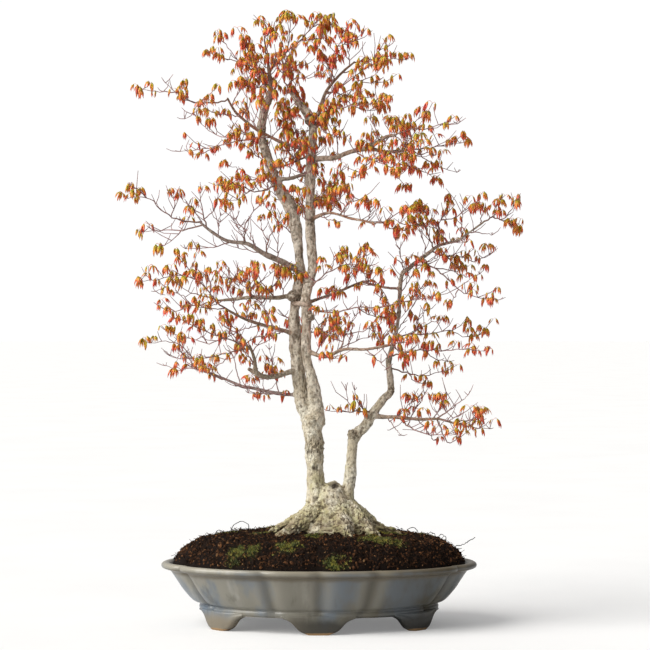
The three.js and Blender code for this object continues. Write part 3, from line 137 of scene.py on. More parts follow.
key_data = bpy.data.lights.new("window", "SUN")
key_data.energy = KEY_STRENGTH
key_data.angle = math.radians(KEY_SOFTNESS)
key_data.color = (1, 0.985, 0.95)
key = put_in_scene("window", key_data)
key.rotation_euler = (-Vector(KEY_FROM)).to_track_quat("-Z", "Y").to_euler()
key.location = Vector(KEY_FROM) * 3

sky = bpy.data.worlds.new("sky")
sky.use_nodes = True
tree = sky.node_tree
around = add_node(tree, "ShaderNodeTexCoord").outputs["Generated"]
sideways = add_node(tree, "ShaderNodeSeparateXYZ", {0: around}).outputs["X"]
room = map_range(tree, sideways, -ROOM_SIDE, ROOM_SIDE, LEFT_FILL, RIGHT_FILL)
seen = add_node(tree, "ShaderNodeLightPath").outputs["Is Camera Ray"]
background = tree.nodes["Background"]
plug(tree, background.inputs["Color"], (1, 1, 1))
plug(tree, background.inputs["Strength"], map_range(tree, seen, 0.0, 1.0, room, BACKDROP_STRENGTH))
bpy.context.scene.world = sky
bpy.context.scene.view_settings.view_transform = "Standard"


# %% [markdown]
# ## Helpers for finishes
# A finish is a Principled shader with a colour, and mostly a bump. Its colour is painted in layers: each
# layer is a tone that shows where its mask is bright.

# %% Finish helpers
def new_finish(name, inputs):
    material = bpy.data.materials.new(name)
    material.use_nodes = True
    shader = material.node_tree.nodes["Principled BSDF"]
    for socket, value in inputs.items():
        shader.inputs[socket].default_value = value
    return material, material.node_tree, shader


def mix(tree, factor, first, second):
    return add_node(tree, "ShaderNodeMix", {0: factor, 6: first, 7: second}, data_type="RGBA").outputs[2]


def paint(tree, colour, *layers):
    """Lays tones over a colour in turn, each with its name, its mask and its strength."""
    for _, mask, strength, tone in layers:
        colour = mix(tree, multiply(tree, mask, strength), colour, tone)
    return colour


def dress(tree, shader, colour, height=None, strength=0.0, depth=0.0):
    """Gives a shader its colour and, where there is a height, its bump."""
    plug(tree, shader.inputs["Base Color"], colour)
    if height is not None:
        bump = add_node(tree, "ShaderNodeBump", {"Strength": strength, "Distance": depth, "Height": height})
        plug(tree, shader.inputs["Normal"], bump.outputs["Normal"])


def attribute(tree, name, output="Fac"):
    return add_node(tree, "ShaderNodeAttribute", attribute_name=name).outputs[output]


# %% [markdown]
# Clay, bark, earth and leaf all have blotches: soft patches where one tone gives way to another. That is
# one effect with different sizes, so it is a node group with named inputs, placed in each material.

# %% Blotches, a shader group
blotches, given = start_group(
    "Blotches", "ShaderNodeTree",
    [("Scale", "Float", 40), ("Stretch", "Float", 1), ("From", "Float", 0.4), ("To", "Float", 0.6),
     ("Offset", "Float", 0)], ("Mask", "Float"))
place = add_node(blotches, "ShaderNodeTexCoord").outputs["Object"]
squash = {"X": 1.0, "Y": 1.0, "Z": calc(blotches, "DIVIDE", 1.0, given["Stretch"])}
squash = add_node(blotches, "ShaderNodeCombineXYZ", squash).outputs[0]
place = add_node(blotches, "ShaderNodeVectorMath", {0: place, 1: squash}, operation="MULTIPLY").outputs[0]
place = add_node(blotches, "ShaderNodeVectorMath", {0: place, 1: given["Offset"]}, operation="ADD").outputs[0]
cloud = {"Vector": place, "Scale": given["Scale"], "Detail": 4.0, "Roughness": 0.6}
cloud = add_node(blotches, "ShaderNodeTexNoise", cloud).outputs["Fac"]
close_group(blotches, map_range(blotches, cloud, given["From"], given["To"], shape="SMOOTHSTEP"))


def blotch(tree, scale, stretch, start, end, offset=0.0):
    inputs = {"Scale": scale, "Stretch": stretch, "From": start, "To": end, "Offset": offset}
    return add_node(tree, "ShaderNodeGroup", inputs, node_tree=blotches).outputs["Mask"]


print("group", blotches.name, [item.name for item in blotches.interface.items_tree])


# %% [markdown]
# The ground only shows the plant's soft shadow, so it is one plain white sheet with a faint mottle. It is
# also a light table: a little light comes up through it, which keeps the shadow under the pot pale.

# %% Ground
GROUND_GLOW = 0.2
paper, tree, shader = new_finish("white ground", {"Roughness": 0.9, "Emission Color": (1, 1, 1, 1)})
dress(tree, shader, mix(tree, blotch(tree, 3.0, 1.0, 0.3, 0.7), (0.74, 0.74, 0.74), (0.77, 0.77, 0.77)))
seen = add_node(tree, "ShaderNodeLightPath").outputs["Is Camera Ray"]
plug(tree, shader.inputs["Emission Strength"], multiply(tree, seen, GROUND_GLOW))
bpy.ops.mesh.primitive_circle_add(vertices=96, radius=60, fill_type="NGON", location=(0, 0, 0))
ground = bpy.context.object
ground.name = "ground"
ground.data.materials.append(paper)
print("ground", ground.name)


# %% [markdown]
# ## The pot
# The pot is one piece of fired clay: an oval of ten shallow lobes that flares from a base ring to a
# rounded lip, on feet cut like clouds. A lathe makes a round pot. Here the same turned profile is pushed
# out to a plan that is first an oval and then dips a little wherever two lobes meet, so one short rule
# gives the rim, the wall and the ring, inside and outside.

# %% Plan of the lobes
POT_X = -9 * MM
RIM_HALF_WIDTH, RIM_HALF_DEPTH = 242 * MM, 152 * MM
RING_HALF_WIDTH, RING_HALF_DEPTH = 181 * MM, 125 * MM
FLARE_START = 165 * MM
CORNER_NOTCH, SIDE_NOTCH = 0.036, 0.013
CREASE_DEPTH, CREASE_WIDTH = 0.019, 2.6
HALF_PLAN = ((26, CORNER_NOTCH), (69, SIDE_NOTCH), (90, SIDE_NOTCH), (111, SIDE_NOTCH), (154, CORNER_NOTCH))
NOTCHES = HALF_PLAN + tuple((angle + 180, depth) for angle, depth in HALF_PLAN)


def lobe_reach(degrees):
    """Share of the full reach that the plan has at an angle, from its dips at the two nearest notches."""
    for index, (start, start_depth) in enumerate(NOTCHES):
        after, after_depth = NOTCHES[(index + 1) % len(NOTCHES)]
        span = (after - start) % 360
        share = ((degrees - start) % 360) / span
        if share < 1:
            dip = start_depth * (1 - math.sin(share * math.pi / 2))
            crease = CREASE_DEPTH * math.exp(-((min(share, 1 - share) * span / CREASE_WIDTH) ** 2))
            return 1 - dip - after_depth * (1 - math.sin((1 - share) * math.pi / 2)) - crease
    return 1.0


def half_depth(half_width):
    slope = (RIM_HALF_DEPTH - RING_HALF_DEPTH) / (RIM_HALF_WIDTH - RING_HALF_WIDTH)
    if half_width > FLARE_START:
        return RIM_HALF_DEPTH - slope * (RIM_HALF_WIDTH - half_width)
    return half_width * (RIM_HALF_DEPTH - slope * (RIM_HALF_WIDTH - FLARE_START)) / FLARE_START


def plan_point(half_width, degrees, reach=1.0):
    turn = math.radians(degrees)
    return POT_X + half_width * reach * math.cos(turn), half_depth(half_width) * reach * math.sin(turn)


print("rim front", [round(value, 4) for value in plan_point(RIM_HALF_WIDTH, 270, lobe_reach(270))])


# %% [markdown]
# A profile is a list of half widths and heights in millimetres. Straight runs between them would leave
# facets, so a Catmull-Rom curve goes through the points, and the shell is closed from axis to axis.

# %% Smooth lines and mesh helpers
def smooth_line(points, steps):
    """Points on a Catmull-Rom curve through rows of numbers, with the rows themselves among them."""
    rows = np.array(points, float)
    padded = np.vstack([2 * rows[0] - rows[1], rows, 2 * rows[-1] - rows[-2]])
    line = []
    for i in range(1, len(rows)):
        a, b, c, d = padded[i - 1], padded[i], padded[i + 1], padded[i + 2]
        for t in np.arange(steps) / steps:
            curve = 2 * b + (c - a) * t + (2 * a - 5 * b + 4 * c - d) * t**2 + (3 * b - a - 3 * c + d) * t**3
            line.append(curve / 2)
    return np.array(line + [rows[-1]])


def make_piece(name, corners, faces, *materials):
    mesh = bpy.data.meshes.new(name)
    mesh.from_pydata([tuple(corner) for corner in corners], [], faces)
    for material in materials:
        mesh.materials.append(material)
    mesh.shade_smooth()
    return put_in_scene(name, mesh)


def face_outwards(piece, weld=1e-6):
    """Turns the faces of a mesh outwards, once corners that coincide are welded."""
    shape = bmesh.new()
    shape.from_mesh(piece.data)
    if weld:
        bmesh.ops.remove_doubles(shape, verts=shape.verts, dist=weld)
    bmesh.ops.recalc_face_normals(shape, faces=shape.faces)
    shape.to_mesh(piece.data)
    shape.free()


def add_values(piece, name, values):
    layer = piece.data.attributes.new(name, "FLOAT", "POINT")
    layer.data.foreach_set("value", np.asarray(values, np.float32))


def ring_faces(rings, count, first=0):
    """Faces between rings of corners that follow one another, each with the same count of corners."""
    starts = [(first + ring * count + i, first + ring * count + (i + 1) % count)
              for ring in range(rings - 1) for i in range(count)]
    return [(here, after, after + count, here + count) for here, after in starts]


def lobed_shell(profile, facets):
    """Corners and faces of a closed shell: a profile of half widths and heights pushed out to the plan."""
    angles = [360 * facet / facets for facet in range(facets)]
    plan = [(angle, lobe_reach(angle)) for angle in angles]
    corners = [(*plan_point(width, *place), height) for width, height in profile for place in plan]
    floor, lid = tuple(reversed(range(facets))), tuple(range(len(corners) - facets, len(corners)))
    return corners, [*ring_faces(len(profile), facets), floor, lid]


# %% [markdown]
# The glaze is a thin coat of glass over tan clay. It pools thick and blue-grey on the wall, goes olive
# where it is thinner, and breaks to brown on the lip, the base ring and the edges of the feet. Height tells
# where the coat is thin, with a wavy edge from the blotches, and the soles of the feet are bare clay. The
# colour is painted darker towards the right, as painted shade on the side away from the light, and the feet
# get painted shade under the belly, darkest on the right.

# %% Glaze
def band(tree, axis, low, high, wave=0.0, shape="SMOOTHSTEP"):
    """A mask that rises from 0 to 1 between two places on an axis, in metres, with a wavy edge."""
    place = add_node(tree, "ShaderNodeTexCoord").outputs["Object"]
    place = add_node(tree, "ShaderNodeSeparateXYZ", {0: place}).outputs[axis]
    if wave:
        place = calc(tree, "MULTIPLY_ADD", blotch(tree, 28.0, 1.0, 0.2, 0.8, 3.0), wave, place)
    return map_range(tree, place, low, high, shape=shape)


glaze, tree, shader = new_finish(
    "celadon glaze", {"Coat Weight": 0.15, "Coat Roughness": 0.18, "Specular IOR Level": 0.4})
# Painted shade: a ramp from the lit left end of the pot to its shaded right end.
painted_shade_to_right = band(tree, "X", -0.17, 0.18, shape="LINEAR")
left_more = map_range(tree, painted_shade_to_right, 0.0, 1.0, 1.0, 0.45)
blue_pools = multiply(tree, blotch(tree, 13.0, 2.2, 0.45, 0.62), left_more)
pale_runs = multiply(tree, blotch(tree, 30.0, 7.0, 0.52, 0.76, 7.0), band(tree, "X", 0.1, -0.2))
under_lip = multiply(tree, band(tree, "Z", 78 * MM, 84 * MM, 3 * MM), band(tree, "Z", 90 * MM, 86 * MM))
# The lip's tone is painted darker towards the right, as painted shade.
lip_tone = mix(tree, painted_shade_to_right, (0.34, 0.31, 0.24), (0.15, 0.115, 0.065))
# Feet and base ring: a thin brown coat, with painted shade under the belly that goes near black towards the
# right.
foot_coat_and_painted_shade = mix(tree, band(tree, "X", -0.12, -0.01), (0.17, 0.14, 0.095), (0.016, 0.013, 0.008))
bare_clay = band(tree, "Z", 5.5 * MM, 3 * MM, 2.5 * MM)
colour = paint(
    # The ground colour runs from grey on the left to near-black olive on the right: painted shade.
    tree, mix(tree, painted_shade_to_right, (0.225, 0.215, 0.18), (0.046, 0.038, 0.017)),
    ("blue pools", blue_pools, 1.0, (0.112, 0.142, 0.178)),
    ("pale runs", pale_runs, 0.5, (0.4, 0.4, 0.37)),
    ("dark runs", blotch(tree, 55.0, 6.0, 0.54, 0.78, 11.0), 0.5, (0.05, 0.046, 0.03)),
    ("shoulders of the lobes", attribute(tree, "shoulder"), 0.3, (0.33, 0.31, 0.26)),
    ("creases of the lobes", attribute(tree, "crease"), 0.5, (0.05, 0.045, 0.032)),
    ("lip", band(tree, "Z", 88 * MM, 95.5 * MM, 1.5 * MM), 0.75, lip_tone),
    ("shade under the lip", under_lip, 0.7, (0.1, 0.078, 0.045)),
    # Below the base ring, the thin coat of the feet plus painted shade under the belly.
    ("thin coat and painted shade on the feet", band(tree, "Z", 34 * MM, 18 * MM, 8 * MM), 0.85, foot_coat_and_painted_shade),
    ("bare clay", bare_clay, 1.0, (0.33, 0.2, 0.09)))
dress(tree, shader, colour, blotch(tree, 420.0, 1.0, 0.35, 0.65, 5.0), 0.12, 0.6 * MM)
plug(tree, shader.inputs["Roughness"], map_range(tree, bare_clay, 0.0, 1.0, 0.3, 0.75))
print("finish", glaze.name)


# %% [markdown]
# Where two lobes meet, glaze runs off the shoulders and gathers in the crease. Each corner of the clay
# stores how near a crease it is, and the finish reads that.

# %% How near the creases are
SHOULDER_OFF, SHOULDER_WIDTH = 3.6, 3.0
CREASE_FOOT, CREASE_FADE = 30, 8


def mark_creases(piece):
    shoulder, crease = [], []
    for corner in piece.data.vertices:
        x, y, z = corner.co
        reach = math.hypot(x - POT_X, y * RIM_HALF_WIDTH / RIM_HALF_DEPTH)
        turn = math.degrees(math.atan2(y * reach / half_depth(reach), x - POT_X))
        gap = min(abs((turn - angle + 180) % 360 - 180) for angle, _ in NOTCHES)
        on_wall = min(1.0, max(0.0, (z / MM - CREASE_FOOT) / CREASE_FADE))
        shoulder.append(on_wall * math.exp(-(((gap - SHOULDER_OFF) / SHOULDER_WIDTH) ** 2)))
        crease.append(on_wall * math.exp(-((gap / CREASE_WIDTH) ** 2)))
    add_values(piece, "shoulder", shoulder)
    add_values(piece, "crease", crease)


# %% [markdown]
# Throwing and pressing leave the wall a little uneven, so the shell gets a slow wave of a few tenths of a
# millimetre. The drainage holes are cut through the floor with a boolean, as a hole cutter would.

# %% Pot body
POT_FACETS = 360
OUTER_WALL = (
    (0, 24), (90, 24), (176, 24), (180, 24.4), (183, 27), (183, 30.5), (181.4, 33), (185, 35.2), (194, 39),
    (208, 54), (217, 67), (226, 80), (230, 83.4), (236, 85), (240.6, 87), (241.8, 90), (240, 93.2), (236, 95),
)
INNER_WALL = (
    (231, 94.6), (228, 92.4), (226, 89), (219, 82), (210, 74), (196, 60), (182, 45), (176, 41.4), (168, 40),
    (90, 40), (0, 40),
)
AXIS_HOLE = 0.4 * MM
WAVE_HEIGHT, WAVES_PER_METRE, WAVE_START = 0.0016, 22, 26 * MM
DRAIN_OFFSET, DRAIN_RADIUS, DRAIN_SIDES, CUT_MIDDLE, CUT_LENGTH = 88 * MM, 15 * MM, 40, 32 * MM, 60 * MM


def apply_modifier(piece, kind, **settings):
    modifier = piece.modifiers.new(kind.lower(), kind)
    for name, value in settings.items():
        setattr(modifier, name, value)
    bpy.context.view_layer.objects.active = piece
    bpy.ops.object.modifier_apply(modifier=modifier.name)


profile = np.vstack([smooth_line(OUTER_WALL, 3), smooth_line(INNER_WALL, 2)]) * MM
profile[0, 0] = profile[-1, 0] = AXIS_HOLE
corners, faces = lobed_shell(profile, POT_FACETS)
corners = [Vector(corner) for corner in corners]
for corner in corners:
    if corner.z > WAVE_START:
        corner *= 1 + WAVE_HEIGHT * noise.noise(corner * WAVES_PER_METRE)
pot = make_piece("pot_body", corners, faces, glaze)
face_outwards(pot)
mark_creases(pot)
for side in (-1, 1):
    bpy.ops.mesh.primitive_cylinder_add(
        vertices=DRAIN_SIDES, radius=DRAIN_RADIUS, depth=CUT_LENGTH,
        location=(POT_X + side * DRAIN_OFFSET, 0, CUT_MIDDLE))
    cutter = bpy.context.object
    apply_modifier(pot, "BOOLEAN", object=cutter, operation="DIFFERENCE", solver="EXACT")
    bpy.data.objects.remove(cutter, do_unlink=True)
print("pot body", len(pot.data.polygons), "faces")


# %% [markdown]
# A cloud foot follows the base ring. Its lower edge is flat in the middle, where it stands, and climbs to
# the ring at both ends in a double curve, and its outer face bulges a little.

# %% Cloud feet
FEET = ((33, 19), (90, 18), (147, 19), (213, 19), (270, 18), (327, 19))
FOOT_THICKNESS, FOOT_STATIONS, FOOT_ROWS = 15 * MM, 40, 8
FOOT_TOP, FOOT_CLIMB, FLAT_SHARE, SCROLL = 28 * MM, 24.5 * MM, 0.24, 0.035
BULGE, BULGE_START, SOLE_TUCK, RING_TUCK, INNER_SLOPE = 1.6 * MM, 0.25, 2.4 * MM, 0.6 * MM, 1.2 * MM


def foot_edge(share):
    """Height of the foot's lower edge, by the share of the way from its middle to its end."""
    climb = max(0.0, (share - FLAT_SHARE) / (1 - FLAT_SHARE))
    return max(0.0, FOOT_CLIMB * (climb * climb * (3 - 2 * climb) + SCROLL * math.sin(climb * 4 * math.pi)))


feet_corners, feet_faces = [], []
for middle, span in FEET:
    first = len(feet_corners)
    for station in range(FOOT_STATIONS + 1):
        share = -1 + 2 * station / FOOT_STATIONS
        low, outer, inner = foot_edge(abs(share)), [], []
        for rise in (row / FOOT_ROWS for row in range(FOOT_ROWS + 1)):
            z = low + (FOOT_TOP - low) * rise
            bulge = BULGE * math.sin(math.pi * min(1, rise + BULGE_START)) - SOLE_TUCK * (1 - rise) ** 3
            outer.append((RING_HALF_WIDTH + bulge - RING_TUCK, z))
            inner.append((RING_HALF_WIDTH - FOOT_THICKNESS + INNER_SLOPE * (1 - rise), z))
        ring = outer + inner[::-1]
        feet_corners += [(*plan_point(width, middle + share * span), z) for width, z in ring]
    feet_faces += ring_faces(FOOT_STATIONS + 1, len(ring), first)
    feet_faces.append(tuple(range(first, first + len(ring))))
    feet_faces.append(tuple(reversed(range(len(feet_corners) - len(ring), len(feet_corners)))))
feet = make_piece("pot_feet", feet_corners, feet_faces, glaze)
face_outwards(feet)
mark_creases(feet)
for piece in (pot, feet):
    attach(piece, "root")
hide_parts("pot")
print("feet", len(FEET), "with", len(feet.data.polygons), "faces")


# %% [markdown]
# ## Soil, moss and dead roots
# The soil is a heap of crumbs: bark, fibre and baked clay grains, watered into a mound that stands steep
# at the rim and nearly level round the tree. A sculpted surface alone never looks like loose grains, and
# grains alone leave holes. So the mound is a lumpy shell on the same plan as the pot, and grains are strewn
# on it as real shapes.

# %% The mound
SOIL_FACETS, SOIL_EDGE, EDGE_FADE = 300, 96, 6
SOIL_SIDE = (
    (0, 40.4), (80, 40.4), (168, 40.4), (175.6, 40.4), (192, 58), (209.6, 74), (224.2, 91), (223, 95),
)
MOUND = (
    (221, 98), (211, 111), (198, 120), (184, 127), (168, 131), (152, 134), (85, 140), (40, 141.5), (0, 142),
)
CLODS, CLOD_DRIFT, UP_SHIFT, SIDE_SHIFT = ((3.2, 1 / 19), (2.6, 1 / 9), (1.7, 1 / 4)), 0.6, 90, 300


def read_corners(piece, field="co"):
    values = np.empty(len(piece.data.vertices) * 3)
    piece.data.vertices.foreach_get(field, values)
    return values.reshape(-1, 3)


def noise_at(places):
    return np.array([noise.noise(Vector(place)) for place in places])


profile = np.vstack([SOIL_SIDE, smooth_line(MOUND, 9)]) * MM
profile[0, 0] = profile[-1, 0] = AXIS_HOLE
soil = make_piece("soil_mound", *lobed_shell(profile, SOIL_FACETS))
face_outwards(soil)
places = read_corners(soil) / MM
open_air = np.clip((places[:, 2] - SOIL_EDGE) / EDGE_FADE, 0, 1)
for amount, scale in CLODS:
    places[:, 2] += open_air * amount * noise_at(places * scale + scale * UP_SHIFT)
    sway = noise_at(places * scale + scale * SIDE_SHIFT)
    places[:, :2] += (open_air * CLOD_DRIFT * amount * sway)[:, None]
soil.data.vertices.foreach_set("co", (places * MM).ravel())
print("mound", len(soil.data.polygons), "faces, top at", round(places[:, 2].max(), 1), "mm")


# %% [markdown]
# Weights on the mound's corners say where things lie: bare grains nearly everywhere, coarse ones where
# water washed them down to the rim, and moss on a few patches near the roots and on the front slope.

# %% Where grains and moss lie
MOSS_PATCHES = (
    (-53, -118, 21, 11), (-128, -106, 15, 12), (-104, -112, 11, 9), (80, -84, 37, 20), (14, -141, 24, 9),
    (95, -18, 26, 14), (-18, -72, 17, 12), (-92, -30, 16, 10), (30, 92, 30, 18), (-80, 66, 24, 16),
    (-150, 24, 22, 14), (152, 30, 18, 16),
)
MOSS_SPREAD, MOSS_CUT, MOSS_SEEN = 1.9, 0.28, 0.3
TREE_X, TREE_Y, TREE_REACH = 12, -3, 52
WASHED_BELOW, WASHED_FADE = 126, 22
x, y, z = places.T
clear_of_tree = (np.hypot(x - TREE_X, y - TREE_Y) > TREE_REACH).astype(float)
mossy = np.zeros(len(places))
for middle_x, middle_y, wide, deep in MOSS_PATCHES:
    mossy = np.maximum(mossy, np.exp(-(((x - middle_x) / wide) ** 2) - ((y - middle_y) / deep) ** 2))
ragged = 0.5 + 0.5 * noise_at(places / 7) + 0.35 * noise_at(places / 2.6)
mossy = np.clip(MOSS_SPREAD * mossy * ragged - MOSS_CUT, 0, 1) * open_air
washed = np.clip((WASHED_BELOW - z) / WASHED_FADE, 0, 1)
add_values(soil, "moss", mossy)
add_values(soil, "crumbs", open_air * clear_of_tree * (1 - 0.55 * mossy))
add_values(soil, "coarse", open_air * clear_of_tree * (0.35 + 0.65 * washed) * (1 - 0.8 * mossy))
print("moss on", round(100 * float((mossy > MOSS_SEEN).mean()), 1), "% of the corners")


# %% [markdown]
# One finish serves the mound and everything strewn on it. Each grain gets its own tint, a number from 0 to
# 1 that picks its tone from dark humus over red-brown bark to the few tan and orange baked grains.

# %% Potting soil finish
def tone_ramp(tree, factor, tones):
    """A colour ramp through (place, colour) pairs."""
    ramp = add_node(tree, "ShaderNodeValToRGB", {"Fac": factor})
    ends = ramp.color_ramp.elements
    while len(ends) < len(tones):
        ends.new(0.5)
    for element, (place, tone) in zip(ends, tones):
        element.position = place
        element.color = (*tone, 1)
    return ramp.outputs["Color"]


SOIL_TONES = (
    (0.0, (0.007, 0.004, 0.003)), (0.4, (0.018, 0.009, 0.005)), (0.66, (0.045, 0.02, 0.01)),
    (0.84, (0.1, 0.042, 0.018)), (0.95, (0.2, 0.085, 0.033)), (1.0, (0.3, 0.17, 0.08)),
)
MOSS_TONES = (
    (0.0, (0.028, 0.036, 0.008)), (0.3, (0.075, 0.1, 0.012)), (0.6, (0.17, 0.175, 0.02)),
    (1.0, (0.4, 0.31, 0.035)),
)
earth, tree, shader = new_finish("potting soil", {"Roughness": 0.95, "Specular IOR Level": 0.15})
specks = blotch(tree, 420.0, 1.0, 0.35, 0.7)
colour = paint(
    tree, tone_ramp(tree, attribute(tree, "tint"), SOIL_TONES),
    ("dark specks", specks, 0.6, (0.012, 0.007, 0.004)),
    ("film of moss", attribute(tree, "moss"), 1.0, (0.04, 0.055, 0.012)))
dress(tree, shader, colour, specks, 0.6, 0.5 * MM)
soil.data.materials.append(earth)

moss_finish, tree, shader = new_finish("moss", {"Roughness": 0.8, "Sheen Weight": 0.25})
shade = multiply(tree, blotch(tree, 45.0, 1.0, 0.3, 0.7, 6.0), 0.5)
shade = calc(tree, "MULTIPLY_ADD", attribute(tree, "tint"), 0.55, shade)
dress(tree, shader, tone_ramp(tree, shade, MOSS_TONES))
print("finishes", earth.name, "and", moss_finish.name)


# %% [markdown]
# Four small shapes are repeated: an angular grain, a crumb, a bent fibre and a tuft of moss. Each has only
# a few faces, because there are thousands of each.

# %% Shapes to strew
FIBRE_BENDS, FIBRE_RADIUS = ((-0.5, 0, 0), (-0.15, 0.12, 0.08), (0.2, -0.04, 0.16), (0.5, 0.1, 0.05)), 0.03
CRUMB_CORNERS = ((0.5, 0, 0), (-0.5, 0, 0), (0.1, 0.4, 0), (0, -0.45, 0), (0, 0.1, 0.4), (0, 0, -0.4))
CRUMB_FACES = ((0, 2, 4), (2, 1, 4), (1, 3, 4), (3, 0, 4), (2, 0, 5), (1, 2, 5), (3, 1, 5), (0, 3, 5))
TUFT_SPIKES, SPIKE_WIDTH, GOLDEN_TURN = 6, 0.11, 2.4


def shape_of(name, corners, faces):
    piece = make_piece(name, corners, faces)
    face_outwards(piece)
    piece.data.polygons.foreach_set("use_smooth", [False] * len(piece.data.polygons))
    bpy.context.scene.collection.objects.unlink(piece)
    return piece


def ball(subdivisions, radius):
    """Corners and faces of a ball of triangles."""
    shape = bmesh.new()
    bmesh.ops.create_icosphere(shape, subdivisions=subdivisions, radius=radius)
    corners = [vertex.co.copy() for vertex in shape.verts]
    faces = [tuple(vertex.index for vertex in face.verts) for face in shape.faces]
    shape.free()
    return corners, faces


def gather(shapes):
    """Many shapes as one list of corners and one of faces."""
    corners, faces = [], []
    for points, sides in shapes:
        faces += [tuple(len(corners) + corner for corner in face) for face in sides]
        corners += list(points)
    return corners, faces


def spike(base, tip, width):
    """A three-sided spike, closed under its foot."""
    side = (tip - base).orthogonal().normalized() * width
    third = Quaternion(tip - base, 2 * math.pi / 3)
    ring = [side, third @ side, third @ (third @ side)]
    return [base + corner for corner in ring] + [tip], [(0, 1, 2), (0, 3, 1), (1, 3, 2), (2, 3, 0)]


def tuft_spike(order):
    """One of a tuft's spikes. Each next one leans out more and is a little shorter."""
    lean = Vector((math.cos(order * GOLDEN_TURN), math.sin(order * GOLDEN_TURN), 0)) * (0.12 + 0.07 * order)
    foot, tip = Vector((0, 0, -0.15)), Vector((0, 0, 0.95 - 0.08 * order))
    return spike(lean * 0.5 + foot, lean * 1.5 + tip, SPIKE_WIDTH)


grain_corners, grain_faces = ball(1, 0.5)
draw = random.Random(5)
grain = shape_of("grain", [corner * draw.uniform(0.8, 1.2) for corner in grain_corners], grain_faces)
crumb = shape_of("crumb", CRUMB_CORNERS, CRUMB_FACES)
corners = [(x, y + FIBRE_RADIUS * math.cos(turn), z + FIBRE_RADIUS * math.sin(turn))
           for x, y, z in FIBRE_BENDS for turn in (0.0, 2.1, 4.2)]
last = len(corners) - 3
fibre = shape_of("fibre", corners, [*ring_faces(len(FIBRE_BENDS), 3), (2, 1, 0), (last, last + 1, last + 2)])
tuft = shape_of("tuft", *gather(tuft_spike(order) for order in range(TUFT_SPIKES)))
print("shapes", {shape.name: len(shape.data.polygons) for shape in (grain, crumb, fibre, tuft)})


# %% [markdown]
# One Geometry Nodes tree strews any of them: points are scattered by a weight on the mound, a shape stands
# on each, turned and sized at random, and gets its tint before it becomes plain mesh.

# %% Geometry Nodes that strew a shape
def stored(tree, name, kind="FLOAT"):
    node = add_node(tree, "GeometryNodeInputNamedAttribute", {"Name": name}, data_type=kind)
    return node.outputs["Attribute"]


def between(tree, low, high, seed):
    """A random number between two others, for each thing that is strewn."""
    inputs = {2: low, 3: high, "Seed": seed}
    return add_node(tree, "FunctionNodeRandomValue", inputs, data_type="FLOAT").outputs[1]


def set_finish(tree, geometry, finish):
    inputs = {"Geometry": geometry, "Material": finish}
    return add_node(tree, "GeometryNodeSetMaterial", inputs).outputs["Geometry"]


def plain_mesh(tree, instances, finish):
    plain = add_node(tree, "GeometryNodeRealizeInstances", {"Geometry": instances})
    return set_finish(tree, plain.outputs["Geometry"], finish)


def make_strewing(weight):
    """A tree that strews a shape by the weight that the mound's corners hold under a name."""
    group, given = start_group(
        "Strewn by " + weight, "GeometryNodeTree",
        [("Ground", "Geometry", None), ("Shape", "Object", None), ("Density", "Float", 20000),
         ("Smallest", "Float", 0.002), ("Largest", "Float", 0.005), ("Tilt", "Float", math.pi),
         ("Seed", "Int", 1), ("Finish", "Material", None)], ("Strewn", "Geometry"))
    density = multiply(group, stored(group, weight), given["Density"])
    scatter = {"Mesh": given["Ground"], "Density": density, "Seed": given["Seed"]}
    points = add_node(group, "GeometryNodeDistributePointsOnFaces", scatter, distribute_method="RANDOM")
    shape = add_node(group, "GeometryNodeObjectInfo", {"Object": given["Shape"]})
    back = multiply(group, given["Tilt"], -1.0)
    heading = add_node(group, "ShaderNodeCombineXYZ", {
        "X": between(group, back, given["Tilt"], 1), "Y": between(group, back, given["Tilt"], 2),
        "Z": between(group, 0.0, 2 * math.pi, 3)})
    size = between(group, given["Smallest"], given["Largest"], 4)
    uneven = {0: (0.75, 0.7, 0.65), 1: (1.25, 1.1, 1.0), "Seed": 5}
    uneven = add_node(group, "FunctionNodeRandomValue", uneven, data_type="FLOAT_VECTOR").outputs[0]
    scale = add_node(group, "ShaderNodeVectorMath", {0: uneven, "Scale": size}, operation="SCALE")
    placed = add_node(group, "GeometryNodeInstanceOnPoints", {
        "Points": points.outputs["Points"], "Instance": shape.outputs["Geometry"],
        "Rotation": heading.outputs[0], "Scale": scale.outputs[0]})
    tinted = add_node(group, "GeometryNodeStoreNamedAttribute", {
        "Geometry": placed.outputs["Instances"], "Name": "tint", "Value": between(group, 0.0, 1.0, 6),
    }, data_type="FLOAT", domain="INSTANCE")
    close_group(group, plain_mesh(group, tinted.outputs["Geometry"], given["Finish"]))
    return group


def grow(piece, tree, **inputs):
    """Runs a Geometry Nodes tree on a piece and keeps the result as its plain mesh."""
    modifier = piece.modifiers.new("grow", "NODES")
    modifier.node_group = tree
    for item in tree.interface.items_tree:
        if item.in_out == "INPUT" and item.name.replace(" ", "_") in inputs:
            modifier[item.identifier] = inputs[item.name.replace(" ", "_")]
    evaluated = piece.evaluated_get(bpy.context.evaluated_depsgraph_get())
    mesh = bpy.data.meshes.new_from_object(evaluated)
    piece.modifiers.remove(modifier)
    sketch = piece.data
    piece.data = mesh
    if not sketch.users:
        bpy.data.meshes.remove(sketch)
    mesh.name = piece.name


print("ready to strew")


# %% [markdown]
# Grains and crumbs cover the mound, fibres make its outline ragged, and tufts fill the moss patches.

